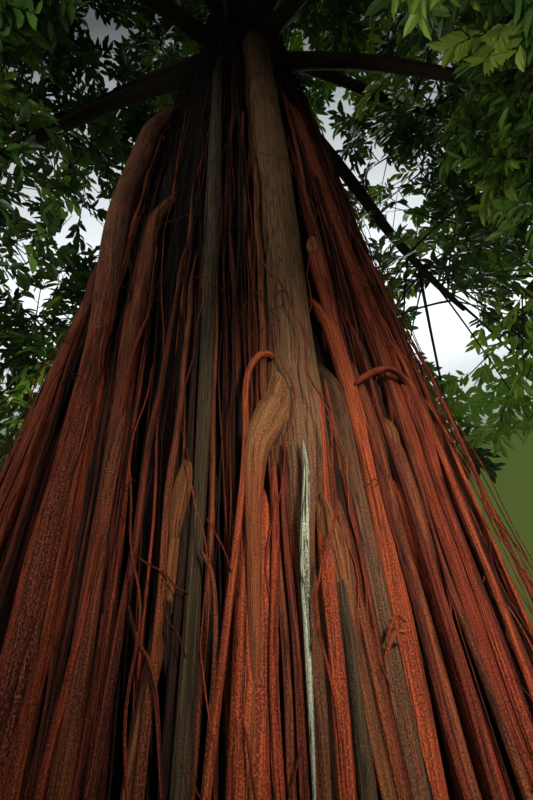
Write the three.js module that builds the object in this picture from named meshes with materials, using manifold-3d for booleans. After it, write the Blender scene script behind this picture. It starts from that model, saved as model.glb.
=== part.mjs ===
// A banyan tree: a column of fused and free-standing aerial roots under a broad crown of many masses.
//
// Millimetres, +Z up. The origin is the centre of the flat cut at ground level.
// Bearings are degrees round the trunk: 0 is the front, which faces -Y, and 90 faces +X.
import * as THREE from "three";
import { mergeVertices } from "three/addons/utils/BufferGeometryUtils.js";
import Module from "manifold-3d";

const wasm = await Module();
wasm.setup();

// Driving dimensions of the column of roots
const forkHeight = 20000;
const columnFootRadius = 2850;
const columnTaperHeight = 22500; // the column narrows to 1/e of its foot over this height
const flareRadius = 350;
const flareHeight = 800;
const footCrowding = 1.5; // rings lie closer together towards the flare
const coreShare = 0.87; // the fused core's share of the column's radius
const fluteShare = 0.045; // depth of the core's flutes, as a share of its radius
const fluteCount = 9;
const fluteTurn = 0.0001; // radians of twist per millimetre of height
const standOut = 0.4; // how far a root bulges out of the column, as a share of its radius
const headSinksFrom = 0.84; // share of a root's length from which its head bends into the core
const headDepth = 1.6; // how far inside the core's flutes the head ends, in radii of the root

// The roots that stand out at the front. Each runs from the ground to its head.
// [name, height of head, bearing at foot, bearing at head, sideways bow in degrees, radii at foot and head]
const frontRoots = [
  ["centre_stem", 18400, 14.5, 17.5, 3, 250, 290],
  ["skirt_root", 4100, 4.3, 7, 0, 125, 110],
  ["grey_stem", 16000, -1, -19, 3.5, 65, 110],
  ["left_stem", 14800, -14, -70, 0, 120, 205],
  ["left_shoulder_root", 7900, -30, -64, 0, 110, 170],
  ["left_brown_root", 9600, -8.5, -33, 0, 60, 90],
  ["red_root", 6800, 17.5, 24, 5.5, 62, 70],
  ["right_brown_root", 4500, 25, 31, 4, 62, 70],
  ["right_stem", 14200, 35, 32, 7.5, 125, 120],
  ["right_edge_root", 8000, 41, 47, 0, 90, 75],
  ["panel_root", 5600, 20.5, 23.5, 0, 95, 75],
  ["left_thin_root", 5600, -11.5, -31, 0, 26, 20],
];
const greyRoots = ["centre_stem", "grey_stem"];

// Roots that bend across the column from one stem to another, or from the ground to a stem.
// Each runs through points of [height, bearing, how far it stands out of the column].
const bentRoots = [
  {
    name: "arch_root",
    radii: [30, 30],
    points: [
      [0, -1.5, 60], [1800, 1.2, 60], [3500, 4.4, 80], [4350, 4.7, 100], [4660, 6.8, 110], [4720, 10, 100],
      [4650, 13.5, 60],
    ],
  },
  {
    name: "knee",
    radii: [62, 125],
    points: [[2900, 5.4, 10], [3550, 6, 125], [3900, 7.6, 150], [4250, 10.4, 140], [4650, 13.5, 80]],
  },
  {
    name: "bridge_root",
    radii: [32, 30],
    points: [[4500, 26.5, 50], [4680, 31, 120], [4820, 36.5, 150], [4750, 41.5, 140], [4350, 44, 100], [3700, 43.8, 50]],
  },
];

// The roots round the back, varied by a seeded rule between these limits
const backRootCount = 8;
const backBearings = [56, 312];
const backHeights = [8200, 14800];
const backRadii = [160, 280];
const backTaper = 0.7;
const backTurn = 14; // most degrees that a back root leans sideways
const backSeed = 7;

// The crown's tiers of masses, each mass on a bough of its own. Widths and depths are halves of a mass's space.
// A bough's seat is its height on the trunk, and its lift is how far it arches above a straight line.
const tiers = [
  {
    name: "low", count: 8, bearing: -5, distance: 8300, height: 12800, halfWidth: 4600, halfDepth: 4200,
    seat: 17500, lift: 1200, seatRadius: 300, tipRadius: 150,
  },
  {
    name: "middle", count: 5, bearing: 38, distance: 7600, height: 19800, halfWidth: 4700, halfDepth: 3700,
    seat: 18800, lift: 600, seatRadius: 290, tipRadius: 150,
  },
  {
    name: "high", count: 3, bearing: 75, distance: 4200, height: 24500, halfWidth: 4300, halfDepth: 3500,
    seat: 19400, lift: -300, seatRadius: 260, tipRadius: 140,
  },
  {
    name: "top", count: 1, bearing: 0, distance: 0, height: 28700, halfWidth: 3700, halfDepth: 2900,
    seat: 19300, lift: 0, seatRadius: 360, tipRadius: 130,
  },
];
const heightJitter = 900;
const distanceJitter = 500;
const crownSeed = 11;
const firstMassSeed = 100;
const boughInset = 0.45; // where a bough starts inside the trunk, as a share of the core's radius
const boughEnd = 0.86; // where a bough ends, as a share of the way from its mass's centre to the mass's edge

// Driving dimensions of the foliage
const stemArch = 0.45; // how long a mass's stem keeps its bough's direction, as a share of its length
const stemRise = 0.1; // how far the stem ends above its mass's centre, as a share of the half depth
const stemTaper = 0.5;
const twigsPerMass = 8;
const twigRadius = 48;
const twigTipRadius = 26;
const twigArch = 0.12;
const twigTurn = 4; // degrees between a mass's outward twig and the plane of its bough
const twigRoots = [0.4, 0.95]; // the stretch of the stem that twigs leave from
const twigReaches = [0.74, 0.6, 0.46]; // shares of the way to the mass's edge, tried from the longest
const sprayLength = 2500;
const sprayWidthShare = 0.52;
const sprayThicknessShare = 0.02;
const sprayWidest = 0.56; // where a spray is widest, as a share of its length
const spraySeats = [1, 0.9, 0.8]; // shares of a twig's length where sprays stand
const spraySizes = [1, 0.8, 0.64]; // shares of a spray's length, tried from the longest
const sprayLift = 0.3; // how far a spray turns outward from the surface of its mass
const sprayRootDepth = 0.6; // how far behind the twig's middle a spray starts, in radii of the twig's tip

// Gaps, clearances and tests
const seatGap = 0.4; // between a limb and those that it is cut back from
const tipGap = 0.3; // between a bough's tip and its mass's stem
const limbClearance = 120; // from twigs and sprays to any limb
const spaceMargin = 0.05; // between neighbouring masses, as a share of their size
const limbSamples = 16; // straight pieces that a limb's line is measured by
const twigTests = [0.35, 0.5, 0.65, 0.8, 1]; // shares of a twig's length that are tested against its space
const mergeDistance = 1e-3;
const shortestEdge = 0.05; // fusing leaves shorter ones, which are closed up

// Facets of each kind of limb
const trunkFacets = { sides: 4 * fluteCount, rings: 11 };
const rootFacets = { sides: 6, rings: 6 };
const bentFacets = { sides: 6, rings: 12 };
const boughFacets = { sides: 6, rings: 4 };
const stemFacets = { sides: 4, rings: 3 };
const twigFacets = { sides: 3, rings: 2 };

const bark = new THREE.MeshStandardMaterial({ color: 0x8a4526, roughness: 0.85, metalness: 0 });
const greyBark = new THREE.MeshStandardMaterial({ color: 0x6f5a45, roughness: 0.85, metalness: 0 });
const leafGreen = new THREE.MeshStandardMaterial({ color: 0x2f4d1e, roughness: 0.5, metalness: 0 });

const { degToRad, lerp, radToDeg, smoothstep } = THREE.MathUtils;
const up = new THREE.Vector3(0, 0, 1);
const sideways = new THREE.Vector3(1, 0, 0);

// A repeatable source of numbers from 0 to 1
function seeded(seed) {
  let state = seed;
  return () => {
    state = (Math.imul(state, 1664525) + 1013904223) >>> 0;
    return state / 2 ** 32;
  };
}

function columnRadius(z) {
  return columnFootRadius * Math.exp(-z / columnTaperHeight) + flareRadius * Math.exp(-z / flareHeight);
}

function coreRadius(z) {
  return coreShare * columnRadius(z);
}

// The point at a bearing and a distance from the trunk's axis
function polar(bearing, distance, z) {
  const angle = degToRad(bearing);
  return new THREE.Vector3(distance * Math.sin(angle), -distance * Math.cos(angle), z);
}

class TrunkAxis extends THREE.Curve {
  getPoint(t) {
    return polar(0, 0, forkHeight * t ** footCrowding);
  }
}

// The line of a root on the column, which bends into the core at its head
class RootLine extends THREE.Curve {
  constructor(root) {
    super();
    this.root = root;
  }
  getPoint(t) {
    const { height, foot, head, bow, radiusAt } = this.root;
    const rise = t ** footCrowding;
    const z = rise * height;
    const standing = columnRadius(z) - (1 - standOut) * radiusAt(t);
    const sunk = (1 - fluteShare) * coreRadius(z) - headDepth * radiusAt(t);
    const distance = lerp(standing, sunk, smoothstep(t, headSinksFrom, 1));
    return polar(lerp(foot, head, rise) + bow * Math.sin(Math.PI * rise), distance, z);
  }
}

// The line of a root that bends across the column, whose rings are turned by the way that faces off the trunk
class BentRootLine extends THREE.CatmullRomCurve3 {
  referenceAt(t) {
    return this.getPoint(t).setZ(0).normalize();
  }
}

// A closed limb along a curve: a cylinder whose rings are carried to the curve's points.
// A level limb keeps its rings horizontal, so that its foot is a flat cut.
function limb(curve, radiusAt, { sides, rings }, level = false) {
  const geometry = new THREE.CylinderGeometry(1, 1, 1, sides, rings);
  const position = geometry.getAttribute("position");
  for (let i = 0; i < position.count; i++) {
    const t = position.getY(i) + 0.5;
    const along = level ? up : curve.getTangent(t);
    const upOrSideways = Math.abs(along.z) > 0.9 ? sideways : up;
    const reference = curve.referenceAt ? curve.referenceAt(t) : upOrSideways;
    const across = new THREE.Vector3().crossVectors(reference, along).normalize();
    const beside = new THREE.Vector3().crossVectors(across, along);
    const x = position.getX(i);
    const z = position.getZ(i);
    const radius = radiusAt(t, Math.atan2(z, x));
    const point = curve.getPoint(t).addScaledVector(across, x * radius).addScaledVector(beside, z * radius);
    position.setXYZ(i, point.x, point.y, point.z);
  }
  return geometry;
}

// A spray of leaves as one thin blade of eight faces
function spray(base, direction, facing, length) {
  const geometry = new THREE.OctahedronGeometry(1);
  const side = new THREE.Vector3().crossVectors(facing, direction).normalize();
  const upper = new THREE.Vector3().crossVectors(direction, side);
  const position = geometry.getAttribute("position");
  for (let i = 0; i < position.count; i++) {
    const x = position.getX(i);
    const isEnd = Math.abs(x) > 0.5;
    const reach = isEnd ? (1 + x) / 2 : sprayWidest;
    const point = base.clone().addScaledVector(direction, reach * length);
    point.addScaledVector(side, (sprayWidthShare * length * position.getY(i)) / 2);
    point.addScaledVector(upper, (sprayThicknessShare * length * position.getZ(i)) / 2);
    position.setXYZ(i, point.x, point.y, point.z);
  }
  return geometry;
}

// A geometry's corners, each kept once
function merged(geometry) {
  const bare = geometry.clone();
  bare.deleteAttribute("normal");
  bare.deleteAttribute("uv");
  return mergeVertices(bare, mergeDistance);
}

function solidOf(geometry) {
  const { index, attributes } = merged(geometry);
  const mesh = new wasm.Mesh({
    numProp: 3,
    vertProperties: new Float32Array(attributes.position.array),
    triVerts: new Uint32Array(index.array),
  });
  return new wasm.Manifold(mesh);
}

function geometryOf(solid) {
  const { vertProperties, triVerts } = solid.getMesh();
  const geometry = new THREE.BufferGeometry();
  geometry.setAttribute("position", new THREE.BufferAttribute(vertProperties, 3));
  geometry.setIndex(new THREE.BufferAttribute(triVerts, 1));
  geometry.computeVertexNormals();
  return geometry;
}

// The largest body of a solid, as cutting and fusing can leave loose scraps
function largestBody(solid) {
  return solid.decompose().reduce((best, body) => (body.volume() > best.volume() ? body : best));
}

function boxesMeet(a, b) {
  return [0, 1, 2].every((k) => a.min[k] <= b.max[k] && b.min[k] <= a.max[k]);
}

const tree = new THREE.Group();
const limbLines = []; // straight pieces of every limb, which twigs and sprays keep clear of
const cutters = []; // limbs a little larger than life, which later limbs are cut back from

function groupOf(name) {
  const group = new THREE.Group();
  group.name = name;
  tree.add(group);
  return group;
}

function addMesh(group, name, solid, material) {
  const mesh = new THREE.Mesh(geometryOf(largestBody(solid)), material);
  mesh.name = name;
  group.add(mesh);
}

// Adds a limb cut off at the ground and clear of those before it, and remembers it for those after it
function addLimb(group, name, curve, radiusAt, facets, level, material) {
  let solid = solidOf(limb(curve, radiusAt, facets, level)).trimByPlane([0, 0, 1], 0);
  const box = solid.boundingBox();
  for (const cutter of cutters) {
    if (boxesMeet(box, cutter.boundingBox())) solid = solid.subtract(cutter);
  }
  addMesh(group, name, solid, material);
  const grown = limb(curve, (t, angle) => radiusAt(t, angle) + seatGap, facets, level);
  cutters.push(solidOf(grown));
  for (let i = 0; i < limbSamples; i++) {
    const line = new THREE.Line3(curve.getPoint(i / limbSamples), curve.getPoint((i + 1) / limbSamples));
    limbLines.push({ line, radius: radiusAt(i / limbSamples, 0) });
  }
}

// The fused core of the column, with its flutes and flare, from the ground to the fork
function addTrunk(group) {
  const axis = new TrunkAxis();
  const radiusAt = (t, angle) => {
    const { z } = axis.getPoint(t);
    return coreRadius(z) * (1 + fluteShare * Math.cos(fluteCount * (angle + fluteTurn * z)));
  };
  addLimb(group, "trunk", axis, radiusAt, trunkFacets, true, bark);
}

function addRoot(group, name, height, foot, head, bow, footRadius, headRadius) {
  const radiusAt = (t) => lerp(footRadius, headRadius, t);
  const line = new RootLine({ height, foot, head, bow, radiusAt });
  const material = greyRoots.includes(name) ? greyBark : bark;
  addLimb(group, name, line, radiusAt, rootFacets, true, material);
}

function addBentRoot(group, { name, radii, points }) {
  const radiusAt = (t) => lerp(...radii, t);
  const pointAt = ([z, bearing, out]) => polar(bearing, columnRadius(z) + out - radii[0], z);
  addLimb(group, name, new BentRootLine(points.map(pointAt)), radiusAt, bentFacets, false, bark);
}

function addBackRoots(group) {
  const random = seeded(backSeed);
  for (let i = 0; i < backRootCount; i++) {
    const foot = lerp(...backBearings, (i + 0.5) / backRootCount);
    const radius = lerp(...backRadii, random());
    const height = lerp(...backHeights, random());
    const head = foot + lerp(-backTurn, backTurn, random());
    addRoot(group, `back_root_${i + 1}`, height, foot, head, 0, radius, backTaper * radius);
  }
}

// Every mass of the crown, with the centre of its space
function layOutMasses() {
  const random = seeded(crownSeed);
  const masses = [];
  for (const tier of tiers) {
    for (let i = 0; i < tier.count; i++) {
      const bearing = tier.bearing + (360 * i) / tier.count;
      const centre = polar(bearing, tier.distance, tier.height);
      if (tier.count > 1) {
        const further = lerp(-distanceJitter, distanceJitter, random());
        const higher = lerp(-heightJitter, heightJitter, random());
        centre.copy(polar(bearing, tier.distance + further, tier.height + higher));
      }
      const name = tier.count > 1 ? `${tier.name}_${i + 1}` : tier.name;
      masses.push({ name, tier, bearing, centre, seed: firstMassSeed + masses.length });
    }
  }
  return masses;
}

// A point's distance from a mass's centre, where 1 is the edge of the mass
function shareOf(mass, point) {
  const { halfWidth, halfDepth } = mass.tier;
  const offset = point.clone().sub(mass.centre);
  return Math.hypot(offset.x / halfWidth, offset.y / halfWidth, offset.z / halfDepth);
}

// Whether a point lies in a mass's own space, which ends where a neighbour's centre is nearer
function inSpace(mass, masses, point) {
  const own = shareOf(mass, point);
  return own < 1 && masses.every((other) => other === mass || shareOf(other, point) > own + spaceMargin);
}

function clearOfLimbs(point) {
  const nearest = new THREE.Vector3();
  return limbLines.every(({ line, radius }) => {
    line.closestPointToPoint(point, true, nearest);
    return nearest.distanceTo(point) > radius + limbClearance;
  });
}

function boughLine(mass) {
  const { tier, bearing, centre } = mass;
  const inset = tier.distance > 0 ? boughInset * coreRadius(tier.seat) : 0;
  const seat = polar(bearing, inset, tier.seat);
  const tip = centre.clone().lerp(seat, boughEnd / shareOf(mass, seat));
  const bend = seat.clone().lerp(tip, 0.5);
  bend.z += tier.lift;
  return new THREE.QuadraticBezierCurve3(seat, bend, tip);
}

function addBough(group, mass) {
  const { seatRadius, tipRadius } = mass.tier;
  mass.bough = boughLine(mass);
  const radiusAt = (t) => lerp(seatRadius, tipRadius, Math.sqrt(t));
  addLimb(group, `bough_${mass.name}`, mass.bough, radiusAt, boughFacets, false, bark);
}

// The line of a mass's stem, which grows on from its bough and ends near the mass's centre
function stemLine({ bough, centre, tier }) {
  const along = bough.getTangent(1);
  const start = bough.getPoint(1).addScaledVector(along, tipGap);
  const end = centre.clone().addScaledVector(up, stemRise * tier.halfDepth);
  const bend = start.clone().addScaledVector(along, stemArch * start.distanceTo(end));
  return new THREE.QuadraticBezierCurve3(start, bend, end);
}

// One of a number of directions spread evenly over a sphere, the most level of which lies at a bearing
function evenDirection(index, count, bearing) {
  const z = 1 - (2 * (index + 0.5)) / count;
  const goldenAngle = Math.PI * (3 - Math.sqrt(5));
  const stepsFromLevel = index - (count / 2 - 1);
  return polar(bearing + radToDeg(stepsFromLevel * goldenAngle), Math.sqrt(1 - z * z), z);
}

// The line of a twig from the mass's stem towards its edge
function twigLine(mass, root, outward, reach) {
  const { halfWidth, halfDepth } = mass.tier;
  const edge = outward.clone().multiply(new THREE.Vector3(halfWidth, halfWidth, halfDepth));
  const tip = mass.centre.clone().addScaledVector(edge, reach);
  const bend = root.clone().lerp(tip, 0.5);
  bend.z += twigArch * root.distanceTo(tip);
  return new THREE.QuadraticBezierCurve3(root, bend, tip);
}

// A spray that stands on a twig and spreads along the mass's surface with its broad side outward
function sprayOn(twig, seat, outward, turn, length) {
  const across = new THREE.Vector3().crossVectors(outward, twig.getTangent(seat)).normalize();
  const direction = across.applyAxisAngle(outward, turn).addScaledVector(outward, sprayLift).normalize();
  const base = twig.getPoint(seat).addScaledVector(direction, -sprayRootDepth * twigTipRadius);
  return spray(base, direction, outward, length);
}

// A blade's corners, and the points halfway between each two of them
function bladePoints(blade) {
  const { position } = merged(blade).attributes;
  const cornerAt = (_, i) => new THREE.Vector3().fromBufferAttribute(position, i);
  const corners = Array.from({ length: position.count }, cornerAt);
  const between = corners.flatMap((a, i) => corners.slice(i + 1).map((b) => a.clone().lerp(b, 0.5)));
  return [...corners, ...between];
}

// The stem, twigs and sprays of one mass, fused into one solid.
// A twig or spray takes the longest size that is free, and is skipped where none is.
function addMass(group, mass, masses) {
  const random = seeded(mass.seed);
  const { tipRadius } = mass.tier;
  const stem = stemLine(mass);
  const isFree = (point) => inSpace(mass, masses, point) && clearOfLimbs(point);
  const twigIsFree = (line) => twigTests.every((t) => isFree(line.getPoint(t)));
  const bladeIsFree = (blade) => bladePoints(blade).every(isFree);
  let solid = solidOf(limb(stem, (t) => lerp(tipRadius, stemTaper * tipRadius, t), stemFacets));

  for (let i = 0; i < twigsPerMass; i++) {
    const outward = evenDirection(i, twigsPerMass, mass.bearing + twigTurn);
    const root = stem.getPoint(lerp(...twigRoots, random()));
    const firstTurn = 2 * Math.PI * random();
    const twig = twigReaches.map((reach) => twigLine(mass, root, outward, reach)).find(twigIsFree);
    if (!twig) continue;
    solid = solid.add(solidOf(limb(twig, (t) => lerp(twigRadius, twigTipRadius, t), twigFacets)));
    spraySeats.forEach((seat, k) => {
      const turn = firstTurn + (2 * Math.PI * k) / spraySeats.length;
      const sizes = spraySizes.map((size) => sprayOn(twig, seat, outward, turn, size * sprayLength));
      const blade = sizes.find(bladeIsFree);
      if (blade) solid = solid.add(solidOf(blade));
    });
  }
  addMesh(group, `foliage_${mass.name}`, solid.asOriginal().simplify(shortestEdge), leafGreen);
}

const column = groupOf("column");
addTrunk(column);
frontRoots.forEach((root) => addRoot(column, ...root));
bentRoots.forEach((root) => addBentRoot(column, root));
addBackRoots(column);

const masses = layOutMasses();
const boughs = groupOf("boughs");
masses.forEach((mass) => addBough(boughs, mass));
const crown = groupOf("crown");
masses.forEach((mass) => addMass(crown, mass, masses));

export default tree;
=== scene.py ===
"""The looks of a banyan tree: bark relief on its column of aerial roots, boughs, twigs and leaves.

Metres, +Z up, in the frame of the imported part. Bearings are degrees round the trunk: 0 is the front, which
faces -Y, and 90 faces +X. The crown grows by the same seeded rule as the solids, carried on to finer twigs.
"""

import math

import bpy
import numpy as np
from mathutils import Matrix, Vector


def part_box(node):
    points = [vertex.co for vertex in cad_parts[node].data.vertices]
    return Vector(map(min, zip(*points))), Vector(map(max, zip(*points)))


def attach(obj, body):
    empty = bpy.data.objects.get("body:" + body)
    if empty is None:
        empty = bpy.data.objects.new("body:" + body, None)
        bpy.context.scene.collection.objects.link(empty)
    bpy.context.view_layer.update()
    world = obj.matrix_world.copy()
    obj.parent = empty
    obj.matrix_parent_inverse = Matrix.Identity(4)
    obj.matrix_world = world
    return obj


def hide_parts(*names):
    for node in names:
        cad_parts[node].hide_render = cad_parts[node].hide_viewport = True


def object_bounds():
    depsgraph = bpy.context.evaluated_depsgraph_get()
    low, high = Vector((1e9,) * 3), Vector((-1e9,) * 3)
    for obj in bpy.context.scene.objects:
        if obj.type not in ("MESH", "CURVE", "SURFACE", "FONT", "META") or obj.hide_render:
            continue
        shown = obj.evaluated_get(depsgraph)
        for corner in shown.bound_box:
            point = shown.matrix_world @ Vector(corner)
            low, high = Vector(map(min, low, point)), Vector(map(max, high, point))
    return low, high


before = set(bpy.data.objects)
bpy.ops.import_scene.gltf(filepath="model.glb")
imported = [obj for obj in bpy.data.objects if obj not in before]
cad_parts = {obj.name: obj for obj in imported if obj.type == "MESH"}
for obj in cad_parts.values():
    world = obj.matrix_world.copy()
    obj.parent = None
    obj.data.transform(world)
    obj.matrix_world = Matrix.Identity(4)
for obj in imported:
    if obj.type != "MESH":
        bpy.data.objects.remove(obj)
cad_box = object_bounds()

# The column of roots, as in the solids
FORK_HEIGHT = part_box("trunk")[1][2]
COLUMN_FOOT_RADIUS = 2.85
COLUMN_TAPER_HEIGHT = 22.5
FLARE_RADIUS = 0.35
FLARE_HEIGHT = 0.8
FOOT_CROWDING = 1.5
CORE_SHARE = 0.87
FLUTE_SHARE = 0.045
FLUTE_COUNT = 9
FLUTE_TURN = 0.1
STAND_OUT = 0.4
HEAD_SINKS_FROM = 0.84
HEAD_DEPTH = 1.6

# Name: height of head, bearing at foot, bearing at head, sideways bow, radii at foot and head
FRONT_ROOTS = {
    "centre_stem": (18.4, 14.5, 17.5, 3, 0.25, 0.29),
    "skirt_root": (4.1, 4.3, 7, 0, 0.125, 0.11),
    "grey_stem": (16.0, -1, -19, 3.5, 0.065, 0.11),
    "left_stem": (14.8, -14, -70, 0, 0.12, 0.205),
    "left_shoulder_root": (7.9, -30, -64, 0, 0.11, 0.17),
    "left_brown_root": (9.6, -8.5, -33, 0, 0.06, 0.09),
    "red_root": (6.8, 17.5, 24, 5.5, 0.062, 0.07),
    "right_brown_root": (4.5, 25, 31, 4, 0.062, 0.07),
    "right_stem": (14.2, 35, 32, 7.5, 0.125, 0.12),
    "right_edge_root": (8.0, 41, 47, 0, 0.09, 0.075),
    "panel_root": (5.6, 20.5, 23.5, 0, 0.095, 0.075),
    "left_thin_root": (5.6, -11.5, -31, 0, 0.026, 0.02),
}

BACK_ROOT_COUNT = 8
BACK_BEARINGS = (56, 312)
BACK_HEIGHTS = (8.2, 14.8)
BACK_RADII = (0.16, 0.28)
BACK_TAPER = 0.7
BACK_TURN = 14
BACK_SEED = 7

# The crown, as in the solids
TIERS = (
    dict(name="low", count=8, bearing=-5, distance=8.3, height=12.8, half_width=4.6, half_depth=4.2,
         seat=17.5, lift=1.2, seat_radius=0.3, tip_radius=0.15),
    dict(name="middle", count=5, bearing=38, distance=7.6, height=19.8, half_width=4.7, half_depth=3.7,
         seat=18.8, lift=0.6, seat_radius=0.29, tip_radius=0.15),
    dict(name="high", count=3, bearing=75, distance=4.2, height=24.5, half_width=4.3, half_depth=3.5,
         seat=19.4, lift=-0.3, seat_radius=0.26, tip_radius=0.14),
    dict(name="top", count=1, bearing=0, distance=0, height=28.7, half_width=3.7, half_depth=2.9,
         seat=19.3, lift=0, seat_radius=0.36, tip_radius=0.13),
)
HEIGHT_JITTER = 0.9
DISTANCE_JITTER = 0.5
CROWN_SEED = 11
FIRST_MASS_SEED = 100
BOUGH_INSET = 0.45
BOUGH_END = 0.86
STEM_ARCH = 0.45
STEM_RISE = 0.1
STEM_TAPER = 0.5
TWIGS_PER_MASS = 8
TWIG_RADIUS = 0.048
TWIG_TIP_RADIUS = 0.026
TWIG_ARCH = 0.12
TWIG_TURN = 4
TWIG_ROOTS = (0.4, 0.95)
TWIG_REACHES = (0.74, 0.6, 0.46)
SPRAY_LENGTH = 2.5
SPRAY_WIDTH_SHARE = 0.52
SPRAY_THICKNESS_SHARE = 0.02
SPRAY_WIDEST = 0.56
SPRAY_SEATS = (1, 0.9, 0.8)
SPRAY_SIZES = (1, 0.8, 0.64)
SPRAY_LIFT = 0.3
SPRAY_ROOT_DEPTH = 0.6
TIP_GAP = 0.0003
LIMB_CLEARANCE = 0.12
SPACE_MARGIN = 0.05
LIMB_SAMPLES = 16
TWIG_TESTS = (0.35, 0.5, 0.65, 0.8, 1)

# What the finer crown adds to the rule
FINE_TWIGS_PER_MASS = 27
FINE_TWIG_SHARE = 0.6  # their thickness beside the source's twigs
FINE_SEATS = (1, 0.82, 0.6)
FINE_SEED_STEP = 500
SHOOTS_PER_SPRAY = 9
LEAVES_PER_SHOOT = 9
LEAF_SEED = 21
LEAF_LENGTH = (0.31, 0.5)
LEAF_WIDTH_SHARE = 0.37
SHOOT_LIMIT = 0.97  # where shoots end at most, as a share of the way to the mass's edge
BOX_TOLERANCE = 0.01  # how far twigs may pass the solids' whole box
SHOOT_INSET = 0.15  # how far shoots keep inside that

# The photo's view, and where it shows sky through the crown: middle, half width and half height in pixels of
# the photo, and the share of shoots that is missing there
EYE = np.array([0.35, -5.5, 1.5])
PITCH = math.radians(40.3)
ROLL = math.radians(1.8)
PICTURE = (533, 800)
FOCAL_LENGTH = 25.2
SENSOR = 36
SKY_GAPS = (
    (442, 312, 36, 38, 0.88),
    (398, 196, 32, 38, 0.88),
    (424, 246, 28, 34, 0.48),
    (440, 350, 34, 34, 0.6),
    (372, 165, 24, 30, 0.5),
    (26, 180, 36, 50, 0.6),
    (28, 265, 44, 70, 0.6),
    (95, 215, 34, 40, 0.55),
)
SPRAY_SKY_LIMIT = 0.9  # sprays are left out where more than this share is missing
TWIG_SKY_LIMIT = 0.46  # and twigs where it is more than this on average

UP = np.array([0.0, 0.0, 1.0])
CROWN_LOW = np.array(cad_box[0]) - BOX_TOLERANCE
CROWN_HIGH = np.array(cad_box[1]) + BOX_TOLERANCE

# The seeded rule: the next state is the last one times and plus these numbers, wrapped at the third
DRAW_TIMES = 1664525
DRAW_PLUS = 1013904223
DRAW_WRAP = 2**32


def seeded(seed):
    """A repeatable source of numbers from 0 to 1, the same as the solids'"""
    state = seed

    def draw():
        nonlocal state
        state = (state * DRAW_TIMES + DRAW_PLUS) % DRAW_WRAP
        return state / DRAW_WRAP

    return draw


def lerp(a, b, t):
    return a + (b - a) * t


def smoothstep(x, low, high):
    t = np.clip((x - low) / (high - low), 0, 1)
    return t * t * (3 - 2 * t)


def unit(vectors):
    return vectors / np.linalg.norm(vectors, axis=-1, keepdims=True)


def column_radius(z):
    return COLUMN_FOOT_RADIUS * np.exp(-z / COLUMN_TAPER_HEIGHT) + FLARE_RADIUS * np.exp(-z / FLARE_HEIGHT)


def core_radius(z):
    return CORE_SHARE * column_radius(z)


def polar(bearing, distance, z):
    """Points at bearings and distances round the trunk's axis"""
    angle, distance, z = np.broadcast_arrays(np.radians(bearing), distance, z)
    return np.stack([distance * np.sin(angle), -distance * np.cos(angle), z], axis=-1).astype(float)


def away_from_axis(points):
    return unit(points * [1, 1, 0])


def ring_angles(sides):
    return np.linspace(0, 2 * math.pi, sides, endpoint=False)


# Shapes

STEEP = 0.9  # how upright a free tube is when its rings no longer go by the level
BARK_SHIFT = 3.7  # metres of bark between one tube and the next, so that no two look the same
BARK_SHIFT_CYCLE = 97


def tubes(centres, radii, sides, rings_lie="level", first=0):
    """Closed tubes along rows of centres: vertices, side and end faces, and the faces' bark coordinates.

    The rings lie level, or across the tube: "on_column" is for tubes along its surface, "free" for others.
    The bark coordinates are metres round and along the tube.
    """
    count, rings = centres.shape[:2]
    radii = np.broadcast_to(radii if radii.ndim == 3 else radii[:, :, None], (count, rings, sides))
    if rings_lie == "level":
        along = np.broadcast_to(UP, centres.shape)
        reference = np.array([1.0, 0.0, 0.0])
    elif rings_lie == "on_column":
        along = unit(np.gradient(centres, axis=1))
        reference = centres * [1, 1, 0]
    else:
        along = unit(np.gradient(centres, axis=1))
        steep = np.abs(along[..., 2:]).mean(axis=1, keepdims=True) > STEEP
        reference = np.where(steep, [1.0, 0.0, 0.0], UP)
    across = unit(np.cross(reference, along))
    beside = np.cross(along, across)
    angle = ring_angles(sides)
    ring = across[:, :, None] * np.cos(angle)[:, None] + beside[:, :, None] * np.sin(angle)[:, None]
    vertices = (centres[:, :, None] + radii[..., None] * ring).reshape(-1, 3)
    index = first + np.arange(count * rings * sides).reshape(count, rings, sides)
    feet = index[:, 0, ::-1].reshape(-1, sides)
    heads = index[:, -1].reshape(-1, sides)
    ends = np.concatenate([feet, heads])

    steps = np.linalg.norm(np.diff(centres, axis=1), axis=-1)
    length = np.pad(np.cumsum(steps, axis=1), ((0, 0), (1, 0)))
    girth = 2 * math.pi * radii.mean(axis=(1, 2))
    apart = BARK_SHIFT * (np.arange(count) + first % BARK_SHIFT_CYCLE)
    around = girth[:, None] * np.arange(sides + 1) / sides + apart[:, None]
    places = np.stack(np.broadcast_arrays(around[:, None], length[:, :, None]), axis=-1)
    return vertices, [side_quads(index), ends], [quad_corners(places), np.zeros((*ends.shape, 2))]


def side_quads(index):
    """The faces between rings of vertex numbers, closed round"""
    return quad_corners(np.concatenate([index, index[..., :1]], axis=-1)[..., None])[..., 0]


def quad_corners(grid):
    """The four corners of every cell of a grid of values"""
    near, far = grid[..., :-1, :, :], grid[..., 1:, :, :]
    corners = [near[..., :-1, :], near[..., 1:, :], far[..., 1:, :], far[..., :-1, :]]
    return np.stack(corners, axis=-2).reshape(-1, 4, grid.shape[-1])


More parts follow.
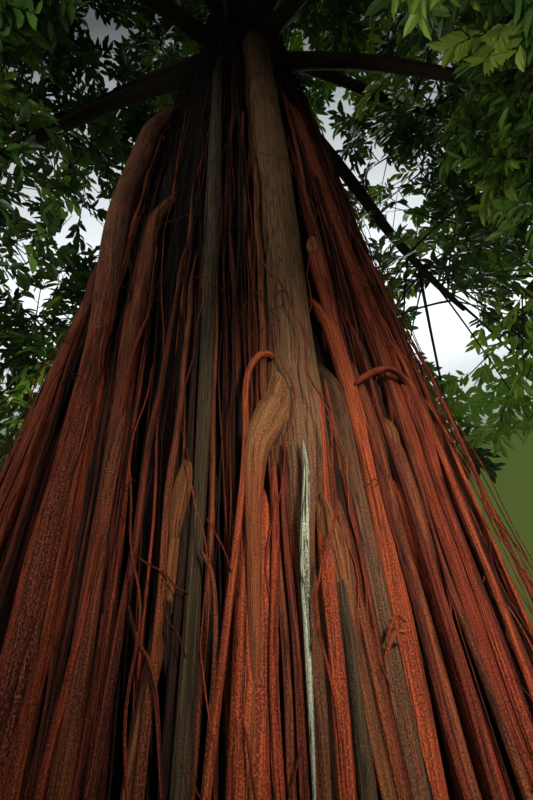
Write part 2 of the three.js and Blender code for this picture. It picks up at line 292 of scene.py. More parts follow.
def add_piece(name, vertices, faces, materials, face_materials=None, places=None, smooth=True):
    """A mesh object from arrays of faces, each array with one count of corners"""
    mesh = bpy.data.meshes.new(name)
    corners = np.concatenate([face.ravel() for face in faces])
    sizes = np.concatenate([np.full(len(face), face.shape[1]) for face in faces])
    mesh.vertices.add(len(vertices))
    mesh.vertices.foreach_set("co", vertices.ravel())
    mesh.loops.add(len(corners))
    mesh.loops.foreach_set("vertex_index", corners)
    mesh.polygons.add(len(sizes))
    mesh.polygons.foreach_set("loop_start", np.concatenate([[0], np.cumsum(sizes)[:-1]]))
    for material in materials:
        mesh.materials.append(material)
    if face_materials is not None:
        mesh.polygons.foreach_set("material_index", np.concatenate(face_materials))
    mesh.polygons.foreach_set("use_smooth", np.full(len(sizes), smooth))
    if places is not None:
        layer = mesh.uv_layers.new(name="bark")
        layer.uv.foreach_set("vector", np.concatenate([place.ravel() for place in places]))
    mesh.update(calc_edges=True)
    piece = bpy.data.objects.new(name, mesh)
    bpy.context.scene.collection.objects.link(piece)
    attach(piece, "root")
    return piece


def add_strands(name, parts, rings_lie="level"):
    """One object from tubes, each with its own bark"""
    barks = list(dict.fromkeys(part[3] for part in parts))
    vertices, faces, kinds, places = [], [], [], []
    first = 0
    for centres, radii, sides, bark_name in parts:
        points, tube_faces, tube_places = tubes(centres, radii, sides, rings_lie, first)
        points[:, 2] = np.maximum(points[:, 2], 0)
        vertices.append(points)
        faces += tube_faces
        places += tube_places
        kinds += [np.full(len(group), barks.index(bark_name)) for group in tube_faces]
        first += len(points)
    return add_piece(name, np.concatenate(vertices), faces, [BARKS[key] for key in barks], kinds, places)


# Materials

MIX_INPUTS = (0, 6, 7)  # a mix node's sockets for the factor and the two colours
MIX_OUTPUT = 2
# The bark's noises: grains to a metre round and along the limb, and detail
STREAK_NOISE = ((46, 1.1), 4)
PATCH_NOISE = ((6, 1.4), 2)
CRACK_NOISE = ((30, 0.8), 2)
WART_SLIMNESS = 0.7
WART_DETAIL = (2, 0.5)
# The noise's values where a layer starts and where it shows in full
PATCH_EDGES = (0.5, 0.72)
STREAK_EDGES = (0.55, 0.4)
WART_EDGES = (0.52, 0.7)
PIT_EDGES = (0.5, 0.36)
CRACK_EDGES = (0.03, 0.008)
PATCH_STRENGTH = 0.45
LIGHTER = (1.6, 0.004)  # how a patch's colour follows from the bark's: times, plus
WART_RISE = 0.7
CRACK_DEPTH = 0.4
BARK_DEPTH = 0.02
BARK_ROUGHNESS = 0.7
BARK_SHINE = 0.12


def feed(tree, socket, value):
    """Links a node's output to a socket, or sets the socket to a number, a colour or a flat scale"""
    if isinstance(value, bpy.types.NodeSocket):
        tree.links.new(value, socket)
    else:
        socket.default_value = (*value, 1) if isinstance(value, tuple) else value


def mix_colour(tree, factor, first, second):
    node = tree.nodes.new("ShaderNodeMix")
    node.data_type = "RGBA"
    for number, value in zip(MIX_INPUTS, (factor, first, second)):
        feed(tree, node.inputs[number], value)
    return node.outputs[MIX_OUTPUT]


def add_node(tree, kind, inputs):
    """A shader node whose inputs are linked or set by name"""
    node = tree.nodes.new(kind)
    for name, value in inputs.items():
        feed(tree, node.inputs[name], value)
    return node


def noise(tree, coordinates, scale, detail, roughness=0.6):
    """A flat noise whose grain differs round and along the limb"""
    mapping = add_node(tree, "ShaderNodeMapping", {"Vector": coordinates, "Scale": scale})
    inputs = {"Vector": mapping.outputs["Vector"], "Scale": 1, "Detail": detail, "Roughness": roughness}
    node = add_node(tree, "ShaderNodeTexNoise", inputs)
    node.noise_dimensions = "2D"
    return node.outputs["Fac"]


def stretch(tree, value, low, high):
    """Maps the range from low to high onto 0 to 1"""
    inputs = {"Value": value, "From Min": low, "From Max": high}
    return add_node(tree, "ShaderNodeMapRange", inputs).outputs["Result"]


def arithmetic(tree, operation, first, second, third=0.0):
    node = tree.nodes.new("ShaderNodeMath")
    node.operation = operation
    for socket, value in zip(node.inputs, (first, second, third)):
        feed(tree, socket, value)
    return node.outputs["Value"]


def bark(name, low_colour, high_colour, crevice_shade, warts=0.5, wart_size=0.007, cracks=0.8, streaks=0.75,
         bump=0.9, fade=(1.5, 9.0)):
    """Bark with long streaks and cracks, a grain of warts, and a colour that changes with height. Its
    streaks, cracks and the pits between warts are darkened with painted shade
    """
    material = bpy.data.materials.new(name)
    material.use_nodes = True
    tree = material.node_tree
    shader = tree.nodes["Principled BSDF"]
    coordinates = tree.nodes.new("ShaderNodeTexCoord")
    separate = add_node(tree, "ShaderNodeSeparateXYZ", {"Vector": coordinates.outputs["Object"]})
    height = stretch(tree, separate.outputs["Z"], *fade)

    place = coordinates.outputs["UV"]
    fine = 1 / wart_size
    grain = noise(tree, place, (fine, WART_SLIMNESS * fine), *WART_DETAIL)
    streak = noise(tree, place, *STREAK_NOISE)
    patch = noise(tree, place, *PATCH_NOISE)
    waver = arithmetic(tree, "SUBTRACT", noise(tree, place, *CRACK_NOISE), 0.5)
    crack = stretch(tree, arithmetic(tree, "ABSOLUTE", waver, 0), *CRACK_EDGES)

    times, plus = LIGHTER
    lighter = tuple(min(1.0, times * c + plus) for c in low_colour)
    base = mix_colour(tree, height, low_colour, high_colour)
    # The streaks and the pits between the warts, and below them the cracks, take the crevice colour: painted
    # shade
    layers = ((patch, PATCH_EDGES, PATCH_STRENGTH, lighter), (streak, STREAK_EDGES, streaks, crevice_shade),
              (grain, WART_EDGES, warts, lighter), (grain, PIT_EDGES, warts, crevice_shade))
    for value, edges, strength, colour in layers:
        share = arithmetic(tree, "MULTIPLY", stretch(tree, value, *edges), strength)
        base = mix_colour(tree, share, base, colour)
    base = mix_colour(tree, arithmetic(tree, "MULTIPLY", crack, cracks), base, crevice_shade)
    tree.links.new(base, shader.inputs["Base Color"])

    relief = arithmetic(tree, "MULTIPLY_ADD", grain, WART_RISE * warts, streak)
    relief = arithmetic(tree, "MULTIPLY_ADD", crack, -CRACK_DEPTH * cracks, relief)
    node = add_node(tree, "ShaderNodeBump", {"Strength": bump, "Distance": BARK_DEPTH, "Height": relief})
    tree.links.new(node.outputs["Normal"], shader.inputs["Normal"])
    shader.inputs["Roughness"].default_value = BARK_ROUGHNESS
    shader.inputs["Specular IOR Level"].default_value = BARK_SHINE
    return material


def plain(name, colour, roughness):
    material = bpy.data.materials.new(name)
    material.use_nodes = True
    shader = material.node_tree.nodes["Principled BSDF"]
    shader.inputs["Base Color"].default_value = (*colour, 1)
    shader.inputs["Roughness"].default_value = roughness
    return material


DARK = (0.003, 0.0012, 0.0008)
# Name: colours low down, higher up and of the painted shade in crevices, strength and size of the warts,
# strength of cracks, streaks and bump, and the heights between which the colour changes
BARK_LOOKS = {
    # The core's near-black colours are painted shade: the dark of the deep gaps between the roots
    "core": ((0.006, 0.0024, 0.0016), (0.006, 0.0035, 0.0025), DARK, 0.1),
    "orange": ((0.25, 0.046, 0.013), (0.19, 0.052, 0.02), (0.05, 0.007, 0.003), 0.6, 0.009),
    "red": ((0.2, 0.029, 0.01), (0.13, 0.034, 0.014), (0.02, 0.004, 0.002), 0.6, 0.009),
    "scaly": ((0.17, 0.034, 0.014), (0.11, 0.06, 0.032), (0.012, 0.004, 0.002), 0.9, 0.013, 0.9, 0.6, 1.0,
              (4.5, 7.5)),
    "rust": ((0.11, 0.017, 0.006), (0.055, 0.017, 0.009), DARK, 0.6, 0.008),
    "brown": ((0.14, 0.032, 0.01), (0.085, 0.03, 0.013), (0.012, 0.004, 0.002), 0.6, 0.009),
    # dark: partly the dark brown of some roots, partly painted shade, near-black roots standing for the shade
    # between the others
    "dark": ((0.022, 0.0075, 0.004), (0.012, 0.0065, 0.004), DARK, 0.4),
    "knee": ((0.19, 0.048, 0.014), (0.15, 0.071, 0.025), (0.04, 0.015, 0.006), 0.5, 0.01, 0.7, 0.5, 0.9,
             (3.3, 3.75)),
    "ochre_dark": ((0.16, 0.055, 0.017), (0.12, 0.045, 0.016), (0.03, 0.008, 0.003), 0.5, 0.006),
    "grey": ((0.115, 0.043, 0.019), (0.122, 0.064, 0.029), (0.025, 0.012, 0.006), 0.6, 0.01, 0.8, 0.4, 1.0,
             (2.9, 3.9)),
    "grey_brown": ((0.1, 0.044, 0.019), (0.022, 0.009, 0.005), (0.016, 0.007, 0.004), 0.6, 0.008, 0.8,
                   0.6, 0.9, (3.5, 4.3)),
    "grey_green": ((0.055, 0.034, 0.015), (0.04, 0.031, 0.019), (0.008, 0.005, 0.003), 0.5),
    "pale": ((0.27, 0.285, 0.2), (0.27, 0.285, 0.2), (0.03, 0.026, 0.018), 0.4, 0.01, 1.0, 0.9),
    "bough": ((0.05, 0.034, 0.02), (0.05, 0.034, 0.02), (0.015, 0.01, 0.006), 0.3, 0.02),
}
BARKS = {name: bark(f"bark_{name}", *look) for name, look in BARK_LOOKS.items()}

# Leaf tints from deep to bright: lit and shaded copies of the leaf green, painted light and shade that
# tint_weights shares out by where the light falls, and at random per spray
LEAF_TINTS = (
    plain("leaf_deep", (0.035, 0.08, 0.013), 0.42),
    plain("leaf_dark", (0.065, 0.14, 0.02), 0.42),
    plain("leaf_green", (0.12, 0.24, 0.028), 0.45),
    plain("leaf_lit", (0.22, 0.37, 0.04), 0.48),
    plain("leaf_bright", (0.4, 0.54, 0.07), 0.5),
)


# The lines of the limbs, as in the solids

def front_and_back_roots():
    roots = dict(FRONT_ROOTS)
    random = seeded(BACK_SEED)
    for i in range(BACK_ROOT_COUNT):
        foot = lerp(*BACK_BEARINGS, (i + 0.5) / BACK_ROOT_COUNT)
        radius = lerp(*BACK_RADII, random())
        height = lerp(*BACK_HEIGHTS, random())
        head = foot + lerp(-BACK_TURN, BACK_TURN, random())
        roots[f"back_root_{i + 1}"] = (height, foot, head, 0, radius, BACK_TAPER * radius)
    return roots


def root_line(root, t):
    """Points along a root and its radii there"""
    height, foot, head, bow, foot_radius, head_radius = root
    radius = lerp(foot_radius, head_radius, t)
    rise = t**FOOT_CROWDING
    z = rise * height
    standing = column_radius(z) - (1 - STAND_OUT) * radius
    sunk = (1 - FLUTE_SHARE) * core_radius(z) - HEAD_DEPTH * radius
    distance = lerp(standing, sunk, smoothstep(t, HEAD_SINKS_FROM, 1))
    return polar(lerp(foot, head, rise) + bow * np.sin(math.pi * rise), distance, z), radius


def trunk_line(t):
    z = FORK_HEIGHT * t**FOOT_CROWDING
    return polar(0, 0, z), core_radius(z) * (1 + FLUTE_SHARE * np.cos(FLUTE_COUNT * FLUTE_TURN * z))


def bezier(start, bend, end, t):
    t = np.asarray(t, float)[..., None]
    return (1 - t) ** 2 * start + 2 * t * (1 - t) * bend + t**2 * end


def end_direction(curve):
    return unit(curve[2] - curve[1])


def share_of(mass, points):
    halves = np.array([mass["half_width"], mass["half_width"], mass["half_depth"]])
    return np.linalg.norm((points - mass["centre"]) / halves, axis=-1)


def bough_curve(mass):
    inset = BOUGH_INSET * core_radius(mass["seat"]) if mass["distance"] > 0 else 0
    seat = polar(mass["bearing"], inset, mass["seat"])
    tip = lerp(mass["centre"], seat, BOUGH_END / share_of(mass, seat))
    return seat, lerp(seat, tip, 0.5) + mass["lift"] * UP, tip


def stem_curve(mass):
    along = end_direction(mass["bough"])
    start = mass["bough"][2] + TIP_GAP * along
    end = mass["centre"] + STEM_RISE * mass["half_depth"] * UP
    bend = start + STEM_ARCH * np.linalg.norm(end - start) * along
    return start, bend, end


def lay_out_masses():
    random = seeded(CROWN_SEED)
    masses = []
    for tier in TIERS:
        for i in range(tier["count"]):
            bearing = tier["bearing"] + 360 * i / tier["count"]
            alone = tier["count"] == 1
            further = 0 if alone else lerp(-DISTANCE_JITTER, DISTANCE_JITTER, random())
            higher = 0 if alone else lerp(-HEIGHT_JITTER, HEIGHT_JITTER, random())
            mass = dict(tier, bearing=bearing, seed=FIRST_MASS_SEED + len(masses))
            mass["name"] = tier["name"] if alone else f"{tier['name']}_{i + 1}"
            mass["centre"] = polar(bearing, tier["distance"] + further, tier["height"] + higher)
            mass["bough"] = bough_curve(mass)
            mass["stem"] = stem_curve(mass)
            masses.append(mass)
    return masses


def limb_pieces(roots, masses):
    """Starts, ends and radii of the straight pieces of every limb"""
    t = np.linspace(0, 1, LIMB_SAMPLES + 1)
    lines = [trunk_line(t)] + [root_line(root, t) for root in roots.values()]
    for mass in masses:
        radius = lerp(mass["seat_radius"], mass["tip_radius"], np.sqrt(t))
        lines.append((bezier(*mass["bough"], t), radius))
    starts = np.concatenate([points[:-1] for points, _ in lines])
    ends = np.concatenate([points[1:] for points, _ in lines])
    radii = np.concatenate([radius[:-1] for _, radius in lines])
    return starts, ends, radii


# The crown's rule, as in the solids

def is_free(mass, masses, pieces, points):
    """Whether points all lie in the mass's own space and clear of every limb"""
    own = share_of(mass, points)
    if (own >= 1).any() or (points < CROWN_LOW).any() or (points > CROWN_HIGH).any():
        return False
    if any((share_of(other, points) <= own + SPACE_MARGIN).any() for other in masses if other is not mass):
        return False
    starts, ends, radii = pieces
    spans = ends - starts
    offsets = points[:, None] - starts
    t = np.clip((offsets * spans).sum(-1) / (spans**2).sum(-1), 0, 1)
    distance = np.linalg.norm(offsets - t[..., None] * spans, axis=-1)
    return bool((distance > radii + LIMB_CLEARANCE).all())


def even_direction(index, count, bearing):
    """One of a number of directions spread evenly over a sphere, the most level of which lies at a bearing"""
    z = 1 - 2 * (index + 0.5) / count
    golden_angle = math.pi * (3 - math.sqrt(5))
    steps_from_level = index - (count / 2 - 1)
    return polar(bearing + math.degrees(steps_from_level * golden_angle), math.sqrt(1 - z * z), z)


def twig_curve(mass, root, outward, reach):
    halves = np.array([mass["half_width"], mass["half_width"], mass["half_depth"]])
    tip = mass["centre"] + reach * outward * halves
    bend = lerp(root, tip, 0.5) + TWIG_ARCH * np.linalg.norm(tip - root) * UP
    return root, bend, tip


def turned(vector, axis, angle):
    return np.array(Matrix.Rotation(angle, 3, axis.tolist())) @ vector


def spray_on(twig, seat, outward, turn, length):
    """A spray's base, direction, the way it faces, and its length"""
    root, bend, tip = twig
    along = unit(2 * (1 - seat) * (bend - root) + 2 * seat * (tip - bend))
    across = turned(unit(np.cross(outward, along)), outward, turn)
    direction = unit(across + SPRAY_LIFT * outward)
    base = bezier(*twig, seat) - SPRAY_ROOT_DEPTH * TWIG_TIP_RADIUS * direction
    return base, direction, outward, length


def spray_points(base, direction, facing, length):
    side = unit(np.cross(facing, direction))
    upper = np.cross(direction, side)
    middle = base + SPRAY_WIDEST * length * direction
    half_width = SPRAY_WIDTH_SHARE * length / 2 * side
    half_thickness = SPRAY_THICKNESS_SHARE * length / 2 * upper
    corners = np.array([base, base + length * direction, middle + half_width, middle - half_width,
                        middle + half_thickness, middle - half_thickness])
    first, second = np.triu_indices(len(corners), 1)
    return np.concatenate([corners, (corners[first] + corners[second]) / 2])


def grow_twigs(mass, masses, pieces, count, seats, seed, thickness):
    """The twigs of a mass and the sprays on them, by the solids' rule"""
    random = seeded(seed)
    twigs = []
    sprays = []
    for i in range(count):
        outward = even_direction(i, count, mass["bearing"] + TWIG_TURN)
        root = bezier(*mass["stem"], lerp(*TWIG_ROOTS, random()))
        first_turn = 2 * math.pi * random()
        curves = [twig_curve(mass, root, outward, reach) for reach in TWIG_REACHES]
        twig = next((c for c in curves if is_free(mass, masses, pieces, bezier(*c, TWIG_TESTS))), None)
        if twig is None or sky_share(bezier(*twig, TWIG_TESTS)).mean() > TWIG_SKY_LIMIT:
            continue
        twigs.append((*twig, thickness))
        for k, seat in enumerate(seats):
            turn = first_turn + 2 * math.pi * k / len(seats)
            sizes = [spray_on(twig, seat, outward, turn, size * SPRAY_LENGTH) for size in SPRAY_SIZES]
            spray = next((s for s in sizes if is_free(mass, masses, pieces, spray_points(*s))), None)
            if spray is not None and sky_share(spray[0] + spray[3] / 2 * spray[1]) < SPRAY_SKY_LIMIT:
                sprays.append(spray)
    return twigs, sprays


# The finer crown

# Shoots: the first one's place in steps, jitter, the share of the spray that bears them, how far the last one
# leans, how far the others lean sideways and forwards, droop, and reach as a share of the spray's length
FIRST_SHOOT = 0.6
SHOOT_JITTER = 0.06
SHOOT_SPAN = 0.85
END_SHOOT_LEAN = 0.15
SHOOT_LEANS = (0.5, 1.3)
SHOOT_TILT = 1.1
SHOOT_DROOP = 0.15
SHOOT_REACHES = (0.24, 0.36)


def hands(count):
    """Left and right in turn"""
    return np.where(np.arange(count) % 2, 1.0, -1.0)


def shoots_on(mass, sprays, random):
    """Side shoots that fill each spray's outline, but for the gaps: starts, ends, and the way each faces"""
    base, direction, facing, length = (np.array(column) for column in zip(*sprays))
    side = unit(np.cross(facing, direction))
    seat = (np.arange(SHOOTS_PER_SPRAY) + FIRST_SHOOT) / SHOOTS_PER_SPRAY
    seats = seat + random.uniform(-SHOOT_JITTER, SHOOT_JITTER, (len(sprays), SHOOTS_PER_SPRAY))
    hand = hands(SHOOTS_PER_SPRAY)
    hand[-1] *= END_SHOOT_LEAN
    starts = base[:, None] + (SHOOT_SPAN * seats * length[:, None])[..., None] * direction[:, None]
    lean = random.uniform(*SHOOT_LEANS, seats.shape) * hand
    off = random.uniform(-SHOOT_TILT, SHOOT_TILT, seats.shape)
    heading = direction[:, None] + lean[..., None] * side[:, None] + off[..., None] * facing[:, None]
    heading -= SHOOT_DROOP * UP
    reach = length[:, None] * random.uniform(*SHOOT_REACHES, seats.shape)
    ends = starts + unit(heading) * reach[..., None]
    share = np.maximum(share_of(mass, ends) / SHOOT_LIMIT, 1)
    ends = mass["centre"] + (ends - mass["centre"]) / share[..., None]
    ends = np.clip(ends, CROWN_LOW + SHOOT_INSET, CROWN_HIGH - SHOOT_INSET)
    kept = random.random(seats.shape) >= sky_share(ends)
    return starts[kept], ends[kept], np.broadcast_to(facing[:, None], starts.shape)[kept], np.nonzero(kept)[0]


NEAREST = 0.1  # how near to the eye a point counts as being, at least
GAP_EDGE = (1.3, 0.7)  # the rim over which a gap's share grows from nothing, in its half widths


def sky_share(points):
    """The share of leaves that is missing round points, from where the photo shows them"""
    forward = np.array([0, math.cos(PITCH), math.sin(PITCH)])
    level_up = np.array([0, -math.sin(PITCH), math.cos(PITCH)])
    right = math.cos(ROLL) * np.array([1, 0, 0]) - math.sin(ROLL) * level_up
    upright = math.sin(ROLL) * np.array([1, 0, 0]) + math.cos(ROLL) * level_up
    offset = points - EYE
    scale = max(PICTURE) * FOCAL_LENGTH / SENSOR / np.maximum(offset @ forward, NEAREST)
    x = PICTURE[0] / 2 + scale * (offset @ right)
    y = PICTURE[1] / 2 - scale * (offset @ upright)
    share = np.zeros(x.shape)
    for middle_x, middle_y, half_width, half_height, missing in SKY_GAPS:
        away = np.hypot((x - middle_x) / half_width, (y - middle_y) / half_height)
        share = np.maximum(share, missing * smoothstep(away, *GAP_EDGE))
    return share


# Leaves: the first one's place on its shoot, how far they face upwards and as their spray does, how far they
# turn from that, lean sideways, wander and droop
FIRST_LEAF = 0.2
LEAF_FACES_UP = 0.75
LEAF_FACES_OUT = 0.5
LEAF_TURN = 0.28
LEAF_LEANS = (0.5, 1.3)
LEAF_WANDER = 0.15
LEAF_DROOP = 0.5
# A leaf's corners: how far along it, how far across it in half widths, and how far above it, in its lengths
LEAF_OUTLINE = ((0, 0, 0), (0.36, 1, 0.05), (0.74, 0.7, 0.02), (1, 0, -0.08), (0.74, -0.7, 0.02),
                (0.36, -1, 0.05))
LEAF_HALVES = np.array([[0, 3, 2, 1], [0, 5, 4, 3]])


def leaves_on(starts, ends, facing, random):
    """Leaves along each shoot and in a whorl at its end, as the corners of each"""
    shape = (len(starts), LEAVES_PER_SHOOT)
    seat = np.clip(FIRST_LEAF + np.arange(LEAVES_PER_SHOOT) / LEAVES_PER_SHOOT, 0, 1)
    along = unit(ends - starts)[:, None]
    face = unit(LEAF_FACES_UP * UP + LEAF_FACES_OUT * facing)[:, None]
    face = face + random.normal(0, LEAF_TURN, (*shape, 3))
    side = unit(np.cross(face, along))
    hand = hands(LEAVES_PER_SHOOT) * random.uniform(*LEAF_LEANS, shape)
    heading = along + hand[..., None] * side + random.normal(0, LEAF_WANDER, (*shape, 3))
    heading[..., 2] -= random.uniform(0, LEAF_DROOP, shape)
    heading = unit(heading)
    side = unit(np.cross(face, heading))
    upper = np.cross(heading, side)
    base = lerp(starts[:, None], ends[:, None], seat[:, None])
    length = random.uniform(*LEAF_LENGTH, shape)
    outline = np.array(LEAF_OUTLINE) * [1, LEAF_WIDTH_SHARE / 2, 1]
    axes = np.stack([heading, side, upper], axis=-2) * length[..., None, None]
    return base[..., None, :] + outline @ axes


def add_leaves(mass, sprays, random):
    starts, ends, facing, spray_number = shoots_on(mass, sprays, random)
    corners = leaves_on(starts, ends, facing, random).reshape(-1, 3)
    first = len(LEAF_OUTLINE) * np.arange(len(starts) * LEAVES_PER_SHOOT)[:, None, None]
    halves = (first + LEAF_HALVES).reshape(-1, 4)
    tint = random.choice(len(LEAF_TINTS), len(sprays), p=tint_weights(mass))
    shades = np.repeat(tint[spray_number], len(LEAF_HALVES) * LEAVES_PER_SHOOT)
    piece = add_piece(f"leaves_{mass['name']}", corners, [halves], LEAF_TINTS, [shades], smooth=False)
    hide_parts(f"foliage_{mass['name']}")
    return starts, ends


# The shares of the leaf tints in shade, how light changes them, and how light the front and the right are
SHADE_TINTS = np.array([0.34, 0.32, 0.22, 0.1, 0.03])
LIGHT_TINTS = np.array([-0.2, -0.1, 0, 0.16, 0.07])
LIGHT_IN_FRONT = 0.6
LIGHTER_RIGHT = 0.4


def tint_weights(mass):
    """The shares of each leaf tint: lighter greens on the right, painted light where the light comes through
    """
    light = LIGHT_IN_FRONT + LIGHTER_RIGHT * math.sin(math.radians(mass["bearing"]))
    weights = SHADE_TINTS + LIGHT_TINTS * light
    return weights / weights.sum()


def add_crown(masses, pieces):
    random = np.random.default_rng(LEAF_SEED)
    twig_list = []
    spray_lines = []
    shoot_lines = []
    for mass in masses:
        twigs, sprays = grow_twigs(mass, masses, pieces, TWIGS_PER_MASS, SPRAY_SEATS, mass["seed"], 1)
        finer, more = grow_twigs(mass, masses, pieces, FINE_TWIGS_PER_MASS, FINE_SEATS,
                                 mass["seed"] + FINE_SEED_STEP, FINE_TWIG_SHARE)
        twig_list += twigs + finer
        sprays += more
        spray_lines += sprays
        shoot_lines.append(add_leaves(mass, sprays, random))
    add_twigs(masses, twig_list, spray_lines, shoot_lines)


# Rings and sides of stems, twigs, spray axes and shoots, and the radii of the last two at foot and tip
STEM_MESH = (9, 8)
TWIG_MESH = (6, 4)
AXIS_MESH = (4, 3)
SHOOT_SIDES = 3
AXIS_RADII = (0.022, 0.008)
SHOOT_RADII = (0.009, 0.004)
AXIS_SHARE = 0.9  # of a spray's length


def stem_tubes(masses):
    rings, sides = STEM_MESH
    t = np.linspace(0, 1, rings)
    stems = np.array([bezier(*mass["stem"], t) for mass in masses])
    tips = np.array([mass["tip_radius"] for mass in masses])[:, None]
    return stems, lerp(tips, STEM_TAPER * tips, t), sides


def twig_tubes(twig_list):
    rings, sides = TWIG_MESH
    t = np.linspace(0, 1, rings)
    twigs = np.array([bezier(*twig[:3], t) for twig in twig_list])
    scale = np.array([twig[3] for twig in twig_list])[:, None]
    return twigs, scale * lerp(TWIG_RADIUS, TWIG_TIP_RADIUS, t), sides


def axis_tubes(spray_lines):
    rings, sides = AXIS_MESH
    t = np.linspace(0, 1, rings)
    base, direction, _, length = (np.array(column) for column in zip(*spray_lines))
    axes = base[:, None] + (t * AXIS_SHARE * length[:, None])[..., None] * direction[:, None]
    return axes, np.broadcast_to(lerp(*AXIS_RADII, t), axes.shape[:2]), sides


def shoot_tubes(shoot_lines):
    starts, ends = (np.concatenate(points) for points in zip(*shoot_lines))
    return np.stack([starts, ends], axis=1), np.tile(SHOOT_RADII, (len(starts), 1)), SHOOT_SIDES


def add_twigs(masses, twig_list, spray_lines, shoot_lines):
    """The stems, twigs, spray axes and shoots of the whole crown"""
    groups = (stem_tubes(masses), twig_tubes(twig_list), axis_tubes(spray_lines), shoot_tubes(shoot_lines))
    parts = [(*group, "bough") for group in groups]
    add_strands("twigs", parts, "free")


# The column

LOBE_DRIFTS = (0.3, 1.2)
LOBE_PACES = (0.3, 0.9)
CORE_SIDES = 180
CORE_RINGS = 70
# Ribs of the core: how many stand round it, their height beside the others', and the reach, pace and phase of
# each wave by which they wander up it
CORE_RIBS = ((31, 1, (0.9, 0.5, 0), (0.4, 1.7, 0)), (53, 0.5, (0.7, 0.8, 1)))
RIB_HEIGHT = 0.022
RIB_SINK = 0.02


def lobes(angle, height, random, counts, depth):
    """Rounded lobes that wander up a limb, as shares of its radius"""
    total = np.zeros(np.broadcast(angle, height).shape)
    for count in counts:
        phase = random.uniform(0, 2 * math.pi)
        drift = random.uniform(*LOBE_DRIFTS)
        pace = random.uniform(*LOBE_PACES)
        total += np.cos(count * angle + phase + drift * np.sin(pace * height + phase)) / math.sqrt(count)
    return depth * total


def lobed(centres, radius, sides, bark_name, random, counts, depth, height=None):
    """A limb's tube with lobes, which wander with height unless other values are given"""
    height = centres[:, 2] if height is None else height
    relief = 1 + lobes(ring_angles(sides), height[:, None], random, counts, depth)
    return centres[None], radius[None, :, None] * relief, sides, bark_name


def flare(z, widening, height):
    """How much wider a root is near the ground"""
    return 1 + widening * np.exp(-z / height)


def core_ribs(bearing, z):
    """Rounded ribs with sharp valleys"""
    total = 0
    for count, height, *sways in CORE_RIBS:
        wander = sum(reach * np.sin(pace * z + phase) for reach, pace, phase in sways)
        total = total + height * np.abs(np.cos(count * bearing + wander))
    return total


def add_core():
    """The fused core: flutes, and the ribs of the roots that have grown into it. Its near-black bark is
    painted shade, the dark of the deep gaps between the roots
    """
    z = (FORK_HEIGHT * np.linspace(0, 1, CORE_RINGS) ** FOOT_CROWDING)[:, None]
    angle = ring_angles(CORE_SIDES)
    flutes = 1 + FLUTE_SHARE * np.cos(FLUTE_COUNT * (FLUTE_TURN * z + angle))
    radii = core_radius(z) * (flutes + RIB_HEIGHT * core_ribs(-angle, z) - RIB_SINK)
    x = radii * np.cos(angle)
    y = radii * np.sin(angle)
    points = np.stack([x, y, np.broadcast_to(z, radii.shape)], axis=-1)
    index = np.arange(CORE_SIDES * CORE_RINGS).reshape(CORE_RINGS, CORE_SIDES)
    ends = np.stack([index[0, ::-1], index[-1]])
    around = 2 * math.pi * COLUMN_FOOT_RADIUS * np.linspace(0, 1, CORE_SIDES + 1)
    places = quad_corners(np.stack(np.broadcast_arrays(around, z), axis=-1))
    piece = add_piece("trunk_bark", points.reshape(-1, 3), [side_quads(index), ends], [BARKS["core"]],
                      places=[places, np.zeros((*ends.shape, 2))])
    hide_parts("trunk")


# Root: its main strand's bark, width and place at the foot, then its side strands: place and width at the
# foot, and bark. Widths and places are in radii of the root
ROOT_LOOKS = {
    "centre_stem": ("grey", 0.6, -0.5, (-1.5, 0.2, "red"), (-1.25, 0.24, "grey"), (-0.85, 0.16, "brown"),
        (-0.06, 0.14, "orange"), (0.2, 0.18, "brown"), (0.5, 0.12, "dark"), (0.75, 0.14, "brown")),
    "skirt_root": ("orange", 0.34, -0.62, (-0.12, 0.2, "ochre_dark"), (0.34, 0.26, "red"),
        (0.78, 0.24, "brown"), (1.22, 0.24, "brown"), (1.0, 0.12, "rust")),
    "grey_stem": ("grey_green", 0.62, 0.25, (-0.8, 0.3, "dark"), (1.0, 0.26, "brown")),
    "left_stem": ("scaly", 0.8, 0, (-1.9, 0.22, "rust"), (-1.45, 0.26, "red"), (-1.05, 0.3, "rust"),
        (0.85, 0.3, "red"), (1.2, 0.2, "rust"), (1.5, 0.24, "dark"), (1.85, 0.2, "rust"),
        (2.3, 0.24, "red"), (2.75, 0.2, "dark")),
    "left_shoulder_root": ("red", 0.5, 0, (-1.5, 0.24, "rust"), (-1.0, 0.3, "rust"), (-0.6, 0.2, "dark"),
        (0.7, 0.28, "orange"), (1.15, 0.22, "dark"), (1.5, 0.24, "rust")),
    "left_brown_root": ("brown", 0.8, 0, (1.1, 0.4, "rust"), (1.8, 0.3, "red"), (2.5, 0.36, "rust"),
        (-1.2, 0.4, "dark"), (-2.0, 0.3, "rust")),
    "red_root": ("orange", 1, 0),
    "right_brown_root": ("red", 0.8, 0, (-1.2, 0.4, "brown"), (-2.0, 0.34, "rust"), (1.2, 0.34, "rust"),
        (1.9, 0.3, "red")),
    "right_stem": ("red", 0.5, 0, (-1.1, 0.2, "rust"), (-0.7, 0.26, "brown"), (0.7, 0.24, "rust"),
        (1.1, 0.2, "orange"), (1.5, 0.2, "red"), (1.9, 0.16, "rust")),
    "right_edge_root": ("rust", 0.6, 0, (-1.3, 0.24, "red"), (-0.8, 0.3, "rust"), (0.7, 0.26, "red"),
        (1.1, 0.2, "dark"), (1.5, 0.2, "orange")),
    "panel_root": ("grey_brown", 0.7, -0.3, (0.7, 0.2, "dark"), (-1.15, 0.2, "dark")),
    "left_thin_root": ("orange", 1, 0),
}
# The centre stem's main strand: height, and its width and place in radii of the root
STEM_WIDTHS = ((2.4, 0.56, -0.5), (3.2, 0.8, -0.4), (3.8, 0.95, -0.3), (4.6, 0.86, -0.34), (5.4, 0.8, -0.32),
               (7.0, 0.84, -0.28), (9.5, 0.92, -0.24), (18, 1, -0.2))
